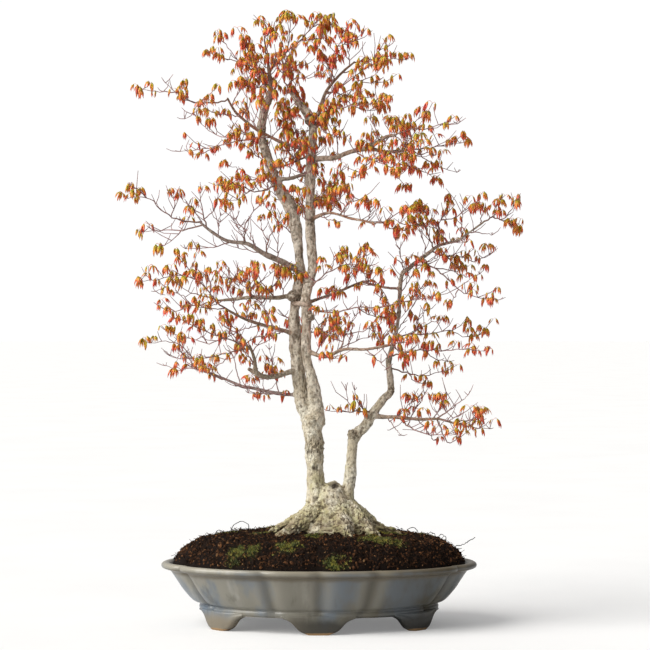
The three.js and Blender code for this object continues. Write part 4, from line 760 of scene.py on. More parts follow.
# %% Strew the mound
STREWN = (
    ("soil_grains", grain, "coarse", 34000, 2.6 * MM, 5.8 * MM, math.pi, 11, earth),
    ("soil_crumbs", crumb, "crumbs", 84000, 1.8 * MM, 5.4 * MM, math.pi, 12, earth),
    ("soil_fibres", fibre, "crumbs", 30000, 5 * MM, 17 * MM, 0.9, 13, earth),
    ("moss_tufts", tuft, "moss", 420000, 2.0 * MM, 4.8 * MM, 0.45, 14, moss_finish),
)
for name, shape, weight, density, smallest, largest, tilt, seed, finish in STREWN:
    layer = put_in_scene(name, soil.data)
    grow(layer, make_strewing(weight), Shape=shape, Density=density, Smallest=smallest, Largest=largest,
         Tilt=tilt, Seed=seed, Finish=finish)
    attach(layer, "root")
    print(name, len(layer.data.polygons) // len(shape.data.polygons), "pieces")
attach(soil, "root")
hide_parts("soil")


# %% [markdown]
# Under the soil a square of plastic net lies over each drainage hole and keeps the soil in. Its solid in
# the frame already has the right strands, so it stays as it is and only gets its finish: black plastic,
# dulled in patches by clay dust that the water leaves.

# %% Drain screens
net, tree, shader = new_finish("black plastic net", {})
dust = blotch(tree, 180.0, 1.0, 0.42, 0.7, 15.0)
colour = paint(tree, (0.012, 0.012, 0.013), ("clay dust", dust, 0.7, (0.16, 0.13, 0.09)))
dress(tree, shader, colour, blotch(tree, 700.0, 1.0, 0.3, 0.7, 2.0), 0.3, 0.2 * MM)
plug(tree, shader.inputs["Roughness"], map_range(tree, dust, 0.0, 1.0, 0.4, 0.9))
for side in ("left", "right"):
    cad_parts["drain_screen_" + side].material_slots[0].material = net
print("finish", net.name, "on both drain screens")


# %% [markdown]
# ## The woody frame
# The tree grew as one piece, so its trunks, branches and roots have no joints between them. The shape is
# known as stations along each limb: place and radius, in millimetres. They stand in tables, one limb to a
# row: its name, then x, y, z and radius between the bars.

# %% Stations of the limbs
def read_table(text):
    """Rows as a name, words and groups of numbers between bars. An indented line goes on with its row."""
    for row in text.strip().replace("\n    ", " ").split("\n"):
        head, *groups = row.split("|")
        yield (*head.split(), [tuple(float(word) for word in group.split()) for group in groups])


FLARE = dict(read_table("""
shared_trunk | 2 0 118 38 | 0 0 140 34 | -5 0 164 25 | -12 0 194 16.5 | -14 0 217 13.5 | -16 0 246 13
    | -16 0 269 13.8 | -17 0 291 14 | -18 0 307 15.5 | -18 0 317 11
root_crown | 12 -3 112 80 | 12 -3 134 64 | 12 -3 148 51 | 12 -2 164 39 | 11 -2 182 29 | 11 -2 196 22
    | 13 -2 207 15 | 14 -2 213 8
left_root | -14 -4 174 15 | -34 -8 160 13 | -52 -12 150 10.5 | -68 -16 143 8.5 | -84 -20 134 6.5
    | -98 -24 122 4
left_front_root | -10 -14 176 15 | -28 -28 158 14 | -46 -42 146 12 | -62 -56 137 9.5 | -78 -70 126 7
    | -90 -80 114 4.5
front_root | 18 -14 176 14 | 24 -32 160 14 | 30 -50 145 12.5 | 34 -66 132 9.5 | 36 -80 118 6
right_front_root | 34 -8 178 13 | 50 -24 160 12 | 64 -40 146 10 | 76 -54 134 7.5 | 86 -68 120 4.5
right_root | 36 0 180 12 | 52 0 165 12 | 70 -2 151 10 | 88 -4 142 8 | 106 -6 136 6 | 122 -8 124 4
back_left_root | -12 12 176 14 | -30 28 157 12 | -46 44 145 10 | -62 60 134 7.5 | -76 74 120 4.5
back_root | 8 14 176 14 | 14 34 157 12 | 20 52 144 10 | 24 70 132 7.5 | 28 86 118 4.5
back_right_root | 32 10 178 13 | 50 26 158 11 | 66 42 145 9.5 | 82 56 134 7 | 96 68 120 4.5
"""))
TRUNKS = dict(read_table("""
left_trunk | -18 2 288 12 | -33 5 329 12 | -37 7 351 11 | -43 9 411 10.5 | -45 9 441 9 | -46 10 471 7.5
    | -41 10 501 9 | -36 10 524 8 | -38 10 543 6.8 | -42 9 579 8 | -45 8 599 9.3 | -49 8 621 9.8
    | -58 8 636 9 | -67 7 651 8.5 | -81 5 681 7.8 | -85 5 696 7 | -94 6 726 6.8 | -96 6 744 6.9
    | -94 7 759 6.6 | -91 8 774 6.4 | -85 9 789 6 | -82 9 804 3.8 | -84 10 831 3 | -88 10 858 1.8
middle_trunk | -10 -2 299 11 | -13 -6 329 10.8 | -20 -7 369 8.7 | -25 -8 389 6.8 | -28 -8 411 7.2
    | -28 -8 441 7.5 | -28 -8 486 7.5 | -25 -8 509 8.2 | -20 -8 528 7.2 | -19 -8 546 7.4 | -22 -8 591 7.5
    | -23 -8 614 7.5 | -22 -8 636 7 | -22 -7 659 8 | -22 -6 681 6.9 | -21 -6 704 7.5 | -18 -5 741 6.3
    | -22 -4 756 7.4 | -28 -3 768 6.4 | -37 -2 779 5.6 | -45 -2 789 4.5 | -55 -1 804 2.6
right_trunk | 24 0 130 26 | 29 0 170 17 | 34 0 198 9.8 | 37 0 216 9 | 39 0 239 8.4 | 40 0 261 8.1
    | 42 1 276 8.4 | 49 2 287 8.3 | 60 3 297 8.3 | 69 5 312 7.5 | 88 6 338 6 | 99 7 350 5.3 | 97 8 378 4.8
    | 96 8 396 4.8 | 100 8 411 3.8 | 108 9 444 3.4 | 111 10 468 3 | 115 13 522 3.4 | 126 14 534 3.6
    | 139 14 545 3.3 | 157 13 558 3 | 172 12 569 2.6 | 199 8 576 2.2 | 211 6 584 2 | 232 4 599 1.8
    | 241 3 606 1.6
"""))
BRANCHES = dict(read_table("""
crossing_branch | -22 -8 711 3.6 | -42 -12 715 3.1 | -63 -14 721 2.8 | -84 -17 731 2.7 | -104 -22 742 2.6
    | -124 -28 757 2.4 | -135 -33 768 2.1 | -145 -38 786 1.8
high_left_branch | -40 10 531 6.4 | -52 4 537 5.2 | -67 -4 545 4.6 | -94 -14 557 4 | -115 -22 570 3.4
    | -145 -30 574 2.9 | -169 -36 588 2.5 | -187 -42 603 2.1
burl_branch | -46 10 492 5 | -60 16 492 3.8 | -75 22 490 3.3 | -112 34 491 3.2 | -139 44 488 2.8
    | -168 52 486 2.1
swaying_branch | -45 8 434 4.2 | -60 0 440 3.2 | -78 -8 445 2.8 | -112 -20 455 2.5 | -139 -30 468 2.2
    | -154 -36 478 1.8
hooked_branch | -42 5 381 5.6 | -58 -4 377 4.2 | -75 -14 372 3.7 | -90 -22 372 3.8 | -102 -30 378 3.5
    | -104 -34 394 2.9 | -107 -38 406 2.5 | -112 -44 419 2.1
hooked_stub | -98 -28 376 3.6 | -107 -30 380 3.4 | -114 -33 384 2.8
low_left_branch | -34 6 344 4.4 | -51 12 344 3.2 | -79 22 347 2.9 | -112 32 354 2.8 | -126 36 356 2.7
    | -150 44 366 2.2 | -180 54 378 1.8
top_right_branch | -20 -4 756 4.2 | -9 -2 768 3.3 | 1 2 798 2.7 | 22 8 825 2.2 | 45 14 846 1.8
high_right_branch | -21 -7 697 5 | 0 -12 698 4.3 | 15 -16 699 3.9 | 37 -22 707 3.7 | 66 -30 714 3.9
    | 90 -38 728 2.8 | 105 -42 730 2.2
high_right_fork | 66 -30 712 3.3 | 90 -14 708 2.8 | 112 -4 710 2.4 | 130 4 713 1.9
front_right_branch | -22 -8 605 4.2 | -16 -14 609 3.2 | 7 -28 616 2.4 | 37 -46 607 2.2 | 56 -56 603 2
    | 75 -66 598 1.8
back_right_branch | -26 -6 480 4 | -16 0 486 3 | 15 14 497 2.5 | 45 28 510 2.3 | 60 34 515 2.1
    | 75 40 516 1.8
natural_graft | 58 33 514 2.4 | 80 28 508 2.3 | 95 20 505 2.2 | 110 12 504 2.1
low_right_branch | -28 -8 412 4.8 | -21 -14 408 3.9 | 1 -28 402 3.3 | 28 -40 413 2.8 | 60 -54 413 2.5
    | 97 -66 420 2.3
pale_band | -47 6 480 3.2 | -40 -8 481 3.6 | -28 -16 480 3.6 | -19 -11 477 3.2
upper_link | -72 6 668 4 | -52 0 669 3.1 | -35 -4 674 3.1 | -22 -6 676 4
slim_link | -66 7 652 2.3 | -50 4 650 1.9 | -35 -2 653 1.9 | -22 -6 656 2.3
high_link | -83 5 688 2.2 | -65 2 687 1.8 | -45 0 694 1.8 | -24 -5 703 2.2
low_far_branch | 72 6 313 4.6 | 88 2 311 3.4 | 105 -4 311 2.9 | 142 -14 308 2.5 | 169 -24 309 2.3
    | 195 -32 302 1.8
"""))
LIMBS = {**FLARE, **TRUNKS, **BRANCHES}
BURLS = (
    (-48, 3, 492, 10), (-21.5, -11, 461, 6.5), (41, -1, 285, 8), (-23, -9, 755, 7.5), (68, -31, 715, 5.5),
)
HOLLOWS = ((15, -14, 214, 9), (-15, -21, 191, 5), (-13, -15, 236, 4.5), (35, -9, 168, 5), (18, 6, 213, 8))
KNOTS = (
    (-46, 0, 516, 7), (-28, -16, 533, 6), (-20, -15, 604, 6), (-20, -14, 696, 7), (100, 3, 352, 6),
    (97, 3, 398, 5), (112, 8, 466, 5), (-92, 0, 742, 6), (-83, 0, 690, 6), (-44, 3, 432, 6), (-32, 5, 345, 6),
)
print("limbs", len(LIMBS), "with", sum(len(stations) for stations in LIMBS.values()), "stations")


# %% [markdown]
# A tube goes through each row of stations, and a ball stands for each burl. A tube's ring of corners turns
# as little as it can from station to station, so that the tube doesn't twist.

# %% Tubes through the stations
FLARE_SIDES, LIMB_SIDES, TUBE_STEPS, ROUND_END = 16, 12, 4, 0.6


def sections_along(line):
    """Two directions across the line at each of its points, turned as little as possible along it."""
    ahead = np.gradient(line[:, :3], axis=0)
    ahead /= np.linalg.norm(ahead, axis=1)[:, None]
    across = np.array([1.0, 0, 0]) if abs(ahead[0, 1]) > 0.8 else np.array([0, 1.0, 0])
    sides = []
    for direction in ahead:
        across = across - direction * np.dot(across, direction)
        across /= np.linalg.norm(across)
        sides.append(across)
    sides = np.array(sides)
    return ahead, sides, np.cross(ahead, sides)


def tube(stations, sides):
    """Corners and faces of a closed tube with rounded ends through rows of x, y, z and radius."""
    line = smooth_line(stations, TUBE_STEPS)
    places, radii = line[:, :3], np.maximum(line[:, 3], 0.5)
    ahead, across, over = sections_along(line)
    turns = np.linspace(0, 2 * np.pi, sides, endpoint=False)[:, None]
    corners = [places[0] - ahead[0] * radii[0] * ROUND_END]
    for i in range(len(line)):
        corners += list(places[i] + radii[i] * (np.cos(turns) * across[i] + np.sin(turns) * over[i]))
    last = len(corners) - sides
    corners.append(places[-1] + ahead[-1] * radii[-1] * ROUND_END)
    faces = ring_faces(len(line), sides, 1)
    for i in range(sides):
        after = (i + 1) % sides
        faces += [(0, 1 + after, 1 + i), (last + i, last + after, len(corners) - 1)]
    return corners, faces


shapes = [tube(stations, FLARE_SIDES if name in FLARE else LIMB_SIDES) for name, stations in LIMBS.items()]
for *middle, radius in BURLS:
    corners, faces = ball(3, radius)
    shapes.append((np.array(corners) + middle, faces))
corners, faces = gather(shapes)
wood = make_piece("tree_wood", np.array(corners) * MM, faces)
print("tubes", len(shapes), "with", len(corners), "corners")


# %% [markdown]
# A voxel remesh melts the tubes into one skin, with soft collars where limbs meet. A voxel of 1.5 mm keeps
# the branch tips, which are 4 mm thick. A smoothing step takes the steps of the voxels off again, and a
# quarter of the triangles can go.

# %% Melt the tubes into one skin
WOOD_VOXEL, SKIN_SHARE = 1.5 * MM, 0.76
apply_modifier(wood, "REMESH", mode="VOXEL", voxel_size=WOOD_VOXEL)
apply_modifier(wood, "SMOOTH", factor=0.5, iterations=3)
apply_modifier(wood, "DECIMATE", ratio=SKIN_SHARE)
print("skin", len(wood.data.vertices), "corners")


# %% [markdown]
# Old maple bark is smooth but never even. Each corner of the skin looks up the nearest limb, which gives
# the limb's radius and the way it runs. Low swellings, fine furrows along the limb, folds between the
# roots, a band of wrinkled scars and a few old wounds are then pushed into the skin along its normals.
# Each kind is noise of its own scale, and its weight is its height in millimetres.

# %% Relief of the bark
BLOCK_SIZE = 8000
SCAR_HEIGHT, SCAR_REACH, ROOT_TOP, ROOT_FADE, WOUND_DEPTH = 266, 13, 200, 60, 3.6
PLAIN_TONE = (0.3, 0.175, 0.115)
LIMB_TONES = {
    "crossing_branch": (0.3, 0.105, 0.055), "high_left_branch": (0.29, 0.2, 0.175),
    "hooked_branch": (0.17, 0.105, 0.055), "low_left_branch": (0.24, 0.15, 0.155),
    "front_right_branch": (0.36, 0.16, 0.09), "natural_graft": (0.42, 0.23, 0.2),
    "upper_link": (0.11, 0.07, 0.042), "slim_link": (0.11, 0.07, 0.042), "high_link": (0.13, 0.08, 0.05),
    "right_trunk": (0.36, 0.27, 0.21), "burl_branch": (0.22, 0.16, 0.1), "pale_band": (0.45, 0.33, 0.26),
}


def reaches_along(points):
    """Distance from the first of some points to each of them, along the line through them."""
    return np.concatenate([[0], np.cumsum(np.linalg.norm(np.diff(points, axis=0), axis=1))])


def nearest_limb(points):
    """Radius, direction, distance along, offset and number of the limb nearest to each point, in mm."""
    spans = []
    for owner, stations in enumerate(LIMBS.values()):
        rows = np.array(stations)
        along = reaches_along(rows[:, :3])[:-1, None]
        spans.append(np.hstack([rows[:-1], rows[1:] - rows[:-1], along, np.full_like(along, owner)]))
    spans = np.vstack(spans)
    starts, radii, ways, growth, reaches, owners = (
        spans[:, :3], spans[:, 3], spans[:, 4:7], spans[:, 7], spans[:, 8], spans[:, 9])
    squares = (ways**2).sum(axis=1)
    lengths = np.sqrt(squares)
    found = []
    for block in np.array_split(points, max(1, len(points) // BLOCK_SIZE)):
        offsets = block[:, None, :] - starts[None]
        shares = np.clip((offsets * ways[None]).sum(axis=2) / squares, 0, 1)
        misses = np.linalg.norm(offsets - shares[..., None] * ways[None], axis=2)
        local = radii + shares * growth
        best = np.argmin(misses - local, axis=1)
        rows = np.arange(len(block))
        share = shares[rows, best]
        found.append(np.column_stack([
            local[rows, best], ways[best] / lengths[best, None], reaches[best] + share * lengths[best],
            offsets[rows, best] - share[:, None] * ways[best], owners[best]]))
    return np.vstack(found)


def nearness(spots, reach):
    """1 at the middle of the nearest spot, falling to 0 at its edge."""
    near = np.zeros(len(places))
    for x, y, z, size in spots:
        near = np.maximum(near, np.clip(reach - np.linalg.norm(places - (x, y, z), axis=1) / size, 0, 1))
    return near


def cracks():
    return np.exp(-((noise_at(places * 0.06 + 12) / 0.05) ** 2))


places, normals = read_corners(wood) / MM, read_corners(wood, "normal")
limb = nearest_limb(places)
radius, along, height = limb[:, 0], limb[:, 4], places[:, 2]
along_limb = limb[:, 5:8] * 0.4 + limb[:, 1:4] * (along * 0.15)[:, None]
furrows = noise_at(along_limb) + 0.5 * noise_at(along_limb * 2.3 + 9)
swellings = noise_at(places * 0.05) + 0.5 * noise_at(places * 0.12 + 5)
pimples = noise_at(places * 0.27 + 40)
stout = np.clip((radius - 2.5) / 9, 0, 1)
scarred = np.exp(-(((height - SCAR_HEIGHT) / SCAR_REACH) ** 2)) * (radius > 9)
wrinkles = np.sin(height * 1.15 + 2.2 * noise_at(places * 0.12)) * noise_at(places * 0.16 + 3)
root_ridges = np.clip((ROOT_TOP - height) / ROOT_FADE, 0, 1)
folds = noise_at(places * 0.085 + 30) + 0.6 * noise_at(places * 0.2 + 60)
round_foot = np.arctan2(places[:, 1], places[:, 0] - 10)
flutes = noise_at(np.column_stack([round_foot * 4, height * 0.02, radius * 0.02]))
wounds = np.clip(nearness(HOLLOWS, 1.35) * (1 + 0.8 * noise_at(places * 0.25 + 20)), 0, 1.35)
knobs = np.maximum(nearness(BURLS, 1.75), nearness(KNOTS, 1.5))
gnarl = noise_at(places * 0.34 + 70)
relief = swellings * (0.4 + 1.9 * stout) + furrows * (0.15 + 0.5 * stout) + pimples * (0.1 + 0.6 * stout)
relief += scarred * (4.0 * wrinkles + 1.4 * furrows)
relief += root_ridges * (2.8 * folds - 2.6 * cracks() + 1.1 * furrows + 1.8 * flutes)
relief += knobs * (1.5 * gnarl + 0.7 * noise_at(places * 0.8)) + 1.6 * nearness(KNOTS, 1.3)
hollow = 0.46 - 0.3 * furrows - 0.55 * pimples - 0.5 * knobs * gnarl - scarred * wrinkles
places += normals * (relief - WOUND_DEPTH * wounds)[:, None]
hollow += root_ridges * (0.12 - 0.4 * folds - 0.25 * furrows + 0.7 * cracks())
wood.data.vertices.foreach_set("co", (places * MM).ravel())
wood.data.update()
add_values(wood, "stout", stout)
add_values(wood, "hollow", np.clip(hollow, 0, 1))
add_values(wood, "knob", np.clip(1.4 * knobs + 0.7 * scarred, 0, 1))
add_values(wood, "wound", np.clip(1.6 * wounds, 0, 1))
tones = np.array([LIMB_TONES.get(name, PLAIN_TONE) for name in LIMBS])[limb[:, 8].astype(int)]
layer = wood.data.attributes.new("limb_tone", "FLOAT_COLOR", "POINT")
layer.data.foreach_set("color", np.column_stack([tones, np.ones(len(tones))]).astype(np.float32).ravel())
print("relief from", round(float(relief.min()), 2), "to", round(float(relief.max()), 2), "mm")


# %% [markdown]
# The bark is cream on the lit lower trunk, grey and brown higher up, and reddish on branches as thin as a
# finger. A bloom of green algae creeps up from the soil. Radius and depth of relief were stored on the
# skin as attributes, so the finish follows the shape instead of fighting it.

# %% Bark
def patches(tree, low, high, wave, *spread):
    """A mask of blotches that comes in between two heights, in metres."""
    return multiply(tree, band(tree, "Z", low, high, wave), blotch(tree, *spread))


bark, tree, shader = new_finish("maple bark", {"Roughness": 0.85})
cream = mix(tree, blotch(tree, 60.0, 1.3, 0.4, 0.62), (0.53, 0.46, 0.33), (0.78, 0.73, 0.6))
grey = mix(tree, blotch(tree, 75.0, 1.5, 0.38, 0.62, 5.0), (0.39, 0.31, 0.24), (0.76, 0.67, 0.56))
slim = calc(tree, "MAXIMUM", map_range(tree, attribute(tree, "stout"), 0.0, 1.0, 1.0, -1.2), 0.0)
crevice = map_range(tree, attribute(tree, "hollow"), 0.42, 0.9, shape="SMOOTHSTEP")
rough_knob = multiply(tree, attribute(tree, "knob"), blotch(tree, 210.0, 1.0, 0.36, 0.6, 3.0))
colour = paint(
    tree, cream,
    ("grey height", band(tree, "Z", 0.34, 0.52, 0.1), 0.85, grey),
    ("tone of slim limbs", slim, 0.9, attribute(tree, "limb_tone", "Color")),
    ("green bloom", patches(tree, 0.34, 0.15, 0.08, 42.0, 1.3, 0.42, 0.6, 4.0), 0.6, (0.38, 0.36, 0.1)),
    ("olive shade", patches(tree, 0.215, 0.165, 0.05, 34.0, 1.0, 0.3, 0.6, 21.0), 0.7, (0.24, 0.2, 0.09)),
    ("brown stain", patches(tree, 0.24, 0.17, 0.06, 55.0, 1.0, 0.45, 0.6, 14.0), 0.5, (0.3, 0.22, 0.13)),
    ("moss line", patches(tree, 0.17, 0.142, 0.03, 65.0, 1.0, 0.46, 0.6, 8.0), 0.85, (0.15, 0.18, 0.03)),
    ("grey lichen", patches(tree, 0.14, 0.3, 0.0, 150.0, 1.2, 0.52, 0.64, 2.0), 0.5, (0.15, 0.13, 0.1)),
    ("dark specks", patches(tree, 0.1, 0.2, 0.0, 310.0, 1.0, 0.56, 0.66, 6.0), 0.55, (0.09, 0.07, 0.045)),
    ("pale flakes", patches(tree, 0.3, 0.5, 0.0, 110.0, 1.0, 0.54, 0.66, 9.0), 0.55, (0.64, 0.58, 0.48)),
    ("brown runs", patches(tree, 0.32, 0.42, 0.0, 130.0, 2.5, 0.5, 0.62, 17.0), 0.5, (0.11, 0.065, 0.04)),
    ("crevices", crevice, 0.85, (0.12, 0.085, 0.05)),
    ("rough knobs", rough_knob, 0.85, (0.1, 0.07, 0.042)),
    ("old wounds", attribute(tree, "wound"), 0.95, (0.03, 0.02, 0.012)))
dress(tree, shader, colour, blotch(tree, 260.0, 1.2, 0.3, 0.7, 1.0), 0.7, 1.0 * MM)
wood.data.materials.append(bark)
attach(wood, "root")
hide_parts("tree")
print("finish", bark.name)


# %% [markdown]
# ## The leafy sprays
# Every spray starts on a trunk or branch and is drawn by its twigs, as points across and up in millimetres.
# A row of the table has the spray's name, its limb, the depth that its first twig reaches and, between the
# bars, its twigs.

# %% Drawn twigs of the sprays
SPRAYS = list(read_table("""
crown_tip left_trunk 2 | -88 852 -91 878 -82 890 -67 918 | -82 890 -90 901 -101 912
crown_leader left_trunk 26 | -84 828 -75 843 -60 858 -37 879 -19 900 -6 930 | -37 878 -20 881 -3 884
    | -57 862 -53 892 -54 922 | -19 900 -6 906 8 908
crown_left left_trunk -22 | -84 826 -105 830 -131 844 -149 846 -171 854 | -128 843 -142 860 -158 882
    | -105 830 -112 848 -118 868
crown_back left_trunk 62 | -84 800 -92 818 -108 836 -112 858 | -94 820 -74 838 -68 852
    | -90 814 -106 806 -126 808
crown_middle middle_trunk -34 | -52 801 -62 816 -60 838 -50 856 | -61 822 -72 836 -88 846
    | -56 807 -42 818 -24 817 -4 822 | -62 826 -46 836 -30 838
far_left_high crossing_branch -58 | -144 784 -165 777 -202 779 -217 789 -234 804
    | -220 791 -250 794 -271 798 | -180 778 -190 764 -206 752
left_high_reach left_trunk 56 | -94 730 -127 728 -165 720 -202 716 -222 715
    | -127 728 -165 738 -187 755 -198 768 | -160 721 -182 709 -200 706
left_shoulder left_trunk 84 | -80 680 -105 671 -130 672 -155 664 | -112 672 -128 686 -146 692
left_shoulder_front left_trunk -76 | -72 660 -90 650 -109 648 -132 656 -150 652
    | -112 649 -128 636 -142 634 | -86 652 -84 668 -72 684
far_left_upper high_left_branch -70 | -185 602 -214 604 -235 614 -258 634 -280 636 -300 634
    | -225 610 -222 630 -231 646 | -262 635 -274 648 -290 652
far_left_lower high_left_branch -8 | -180 598 -212 590 -240 590 -272 588 | -214 590 -226 576 -240 568
left_upper_lift high_left_branch -52 | -176 594 -180 618 -184 642 | -179 612 -200 624 -212 636
    | -178 606 -164 618 -160 632
left_inner_lift high_left_branch -44 | -88 554 -86 572 -76 590 -60 606 | -84 574 -93 588 -96 604
left_middle_lift high_left_branch 24 | -118 571 -120 594 -112 616 -96 634 | -120 592 -134 606 -142 622
far_left_middle burl_branch 34 | -165 486 -176 499 -200 520 -232 524 -258 517 -280 516
    | -196 517 -206 532 -219 545 | -232 524 -240 508 -256 500
left_middle_trail burl_branch 84 | -163 487 -183 482 -210 477 -236 470 -256 478
    | -205 478 -216 492 -228 498
left_middle_back burl_branch 104 | -112 491 -118 512 -130 532 | -116 504 -98 516 -84 528
    | -118 512 -142 520 -158 522
left_burl_lift burl_branch -18 | -78 490 -84 502 -96 514 -100 530 | -84 502 -72 514 -66 528
left_sway_tip swaying_branch -74 | -152 476 -170 490 -190 494 -212 506 | -170 490 -168 508 -176 522
left_hook_reach hooked_branch -56 | -112 417 -142 427 -165 435 -202 452 -220 458
    | -150 430 -172 421 -200 428 -217 428
left_hook_low hooked_branch -98 | -110 413 -136 410 -165 402 -195 400 | -138 410 -152 394 -168 384
left_hook_lift hooked_branch -20 | -108 408 -118 424 -136 444 -146 456 | -117 422 -100 432 -88 430
far_left_low low_left_branch 12 | -148 365 -168 372 -195 393 -217 418 -240 424 -262 422
    | -200 398 -222 398 -236 402 | -217 418 -224 434 -238 440
left_low_trail low_left_branch 84 | -176 376 -202 382 -225 380 -246 386 | -200 382 -208 396 -218 404
top_right top_right_branch 34 | 43 844 70 850 105 853 122 852 | 72 850 82 864 96 872
top_right_lift top_right_branch -26 | 14 815 10 836 14 856 30 876 | 11 842 -4 852 -14 864
    | 20 864 38 868 54 880
right_high top_right_branch -44 | 1 794 15 800 45 819 67 832 84 837 | 42 818 64 810 82 816
right_high_back top_right_branch 72 | 2 800 24 798 50 794 74 802 | 26 798 40 784 60 776 84 778
right_high_front middle_trunk -66 | -20 748 4 764 30 772 60 773 90 779 | 4 764 18 778 32 790
    | -10 755 -4 740 10 730 28 728 | -5 758 -28 738 -48 736
far_right_high high_right_branch -58 | 103 730 126 738 150 738 172 744 194 744 | 128 738 136 752 150 760
    | 110 731 122 718 142 716
far_right_reach high_right_fork 22 | 128 713 157 715 180 720 204 724 | 132 713 153 698 175 688 200 681
right_shoulder high_right_fork 46 | 88 708 100 694 128 688 150 682 168 673 | 102 694 106 676 120 660
right_shoulder_front high_right_branch -86 | 46 709 62 694 84 686 104 674 | 64 694 56 678 44 668
    | 80 688 96 700 116 700
right_middle_front front_right_branch -92 | 73 597 90 602 108 614 122 616 | 84 600 98 590 116 588
right_middle_lift front_right_branch -74 | 22 613 32 626 46 632 60 628 | 30 624 18 636 8 640
right_inner middle_trunk -58 | -26 500 -10 516 10 530 36 538 64 536 | 8 529 14 546 26 554
    | 40 538 58 526 80 526 | -14 512 -30 526 -48 526
right_front_reach middle_trunk -62 | -22 474 10 468 45 474 82 476 120 484 156 491 | 48 474 70 462 92 462
right_low_tip low_right_branch -84 | 95 419 110 424 128 430 | 98 420 112 408 122 404
right_low_lift low_right_branch -26 | 24 411 28 430 36 450 44 462 | 27 424 8 430 -4 440
    | 30 436 52 438 72 446
back_low left_trunk 112 | -42 425 -30 436 -6 440 20 432 | -30 436 -40 452 -62 462 | -14 440 -2 456 16 464
back_high left_trunk 106 | -46 605 -34 622 -10 636 14 640 | -32 623 -44 640 -60 650
    | -12 635 -2 652 14 664
low_inner right_trunk -34 | 72 317 52 320 28 320 6 322 | 44 320 34 336 32 350 | 58 319 50 334 44 352
low_far_tip low_far_branch -58 | 193 302 212 305 226 322 | 200 303 222 296 246 294
low_far_hang low_far_branch -4 | 167 309 174 292 184 272 198 279 212 288
low_far_lift low_far_branch -54 | 165 309 184 322 202 338 210 346 | 180 319 170 334 164 342
low_near_hang low_far_branch -54 | 112 310 122 299 145 290 165 286 190 288 | 123 299 134 320 150 346
low_step right_trunk 46 | 98 385 123 377 150 372 184 381 | 124 377 135 364 152 360
low_ledge right_trunk -30 | 98 403 118 406 135 411 172 411 205 413 240 411 | 150 411 166 398 184 394
right_trunk_fan right_trunk 42 | 105 430 127 435 158 452 176 456 | 127 435 160 436 190 440 216 430 247 436
    | 140 442 140 458 150 470
right_trunk_stub right_trunk -22 | 111 480 130 486 150 490 166 488 | 128 486 140 500 154 508
right_trunk_trail right_trunk -30 | 142 545 162 536 177 524 192 509 208 497 230 490 257 486
    | 165 534 190 531 214 522 234 526 | 200 503 192 488 184 480
right_trunk_reach right_trunk 58 | 160 559 180 554 210 552 228 546 252 556 | 184 554 196 540 210 534
right_trunk_tip right_trunk -22 | 239 604 252 610 266 608 284 626 296 634 | 262 608 282 598 304 591
    | 254 610 254 624 262 636
right_trunk_lift right_trunk 40 | 170 568 173 588 172 603 186 620 192 634 | 173 590 160 603 152 620
    | 176 608 196 612 212 622
right_trunk_inner right_trunk -24 | 164 563 156 580 148 596 127 598 112 600 | 150 594 142 612 144 626
"""))
print("sprays", len(SPRAYS), "with", sum(len(twigs) for *_, twigs in SPRAYS), "twigs")


# %% [markdown]
# The first twig leads from the limb to its depth, and the others leave the twigs before them, to the back
# and the front in turn. The frame was grown by the same rule, so the finer twigs run where its twigs run.

# %% Routes of the twigs in space
DEPTH_SPREAD, TWIG_LEAN = 1.3, 0.5


def nearest_on(routes, x, z):
    """The point of some routes that lies nearest to a place, as seen from the front."""
    best, least = None, math.inf
    for route in routes:
        for start, end in zip(route, route[1:]):
            span = end - start
            flat = span[0] ** 2 + span[2] ** 2
            share = ((x - start[0]) * span[0] + (z - start[2]) * span[2]) / flat if flat else 0
            point = start + span * min(1, max(0, share))
            miss = math.hypot(point[0] - x, point[2] - z)
            if miss < least:
                best, least = point, miss
    return best


def twig_routes(limb_name, depth, twigs):
    routes, wood_line = [], np.array(LIMBS[limb_name])[:, :3]
    for order, numbers in enumerate(twigs):
        points = np.reshape(numbers, (-1, 2))
        start = nearest_on(routes or [wood_line], *points[0])
        reaches = reaches_along(points)
        lean = TWIG_LEAN if order % 2 else -TWIG_LEAN
        drift = lean * reaches[-1] if order else DEPTH_SPREAD * float(depth) - start[1]
        route = np.column_stack([points[:, 0], start[1] + drift * reaches / reaches[-1], points[:, 1]])
        route[0] = start
        routes.append(route)
    return routes


routes_of = {name: twig_routes(*spray) for name, *spray in SPRAYS}
lengths = [reaches_along(route)[-1] for routes in routes_of.values() for route in routes]
print("twigs are", round(min(lengths)), "to", round(max(lengths)), "mm long")


# %% [markdown]
# A maple leaf that has just left its bud is like a half-closed umbrella: five narrow, pointed lobes hang
# together from the end of a thin stalk, each folded along its midrib. The leaf is built once in a few
# states of opening, as a thin closed blade of few faces, because it is repeated thousands of times. Each
# corner knows how far out along the leaf it lies, and how far across its lobe. The finish later reads both
# for the colour and the veins.

# %% Leaf shapes
LOBE_STATIONS = ((0.0, 0.0), (0.3, 0.9), (0.66, 0.74), (1.0, 0.0))
LOBE_HALF_WIDTH, LOBE_FOLD, BLADE_HALF_THICKNESS = 0.115, 0.6, 0.014
LOBE_SHORTER, LOBE_NARROWER = 0.13, 0.12
STALK_RADIUS, STALK_RISE, STALK_ARCH, STALK_TONE = 0.02, 0.3, 1.3, 0.9
UP = Vector((0, 0, 1))


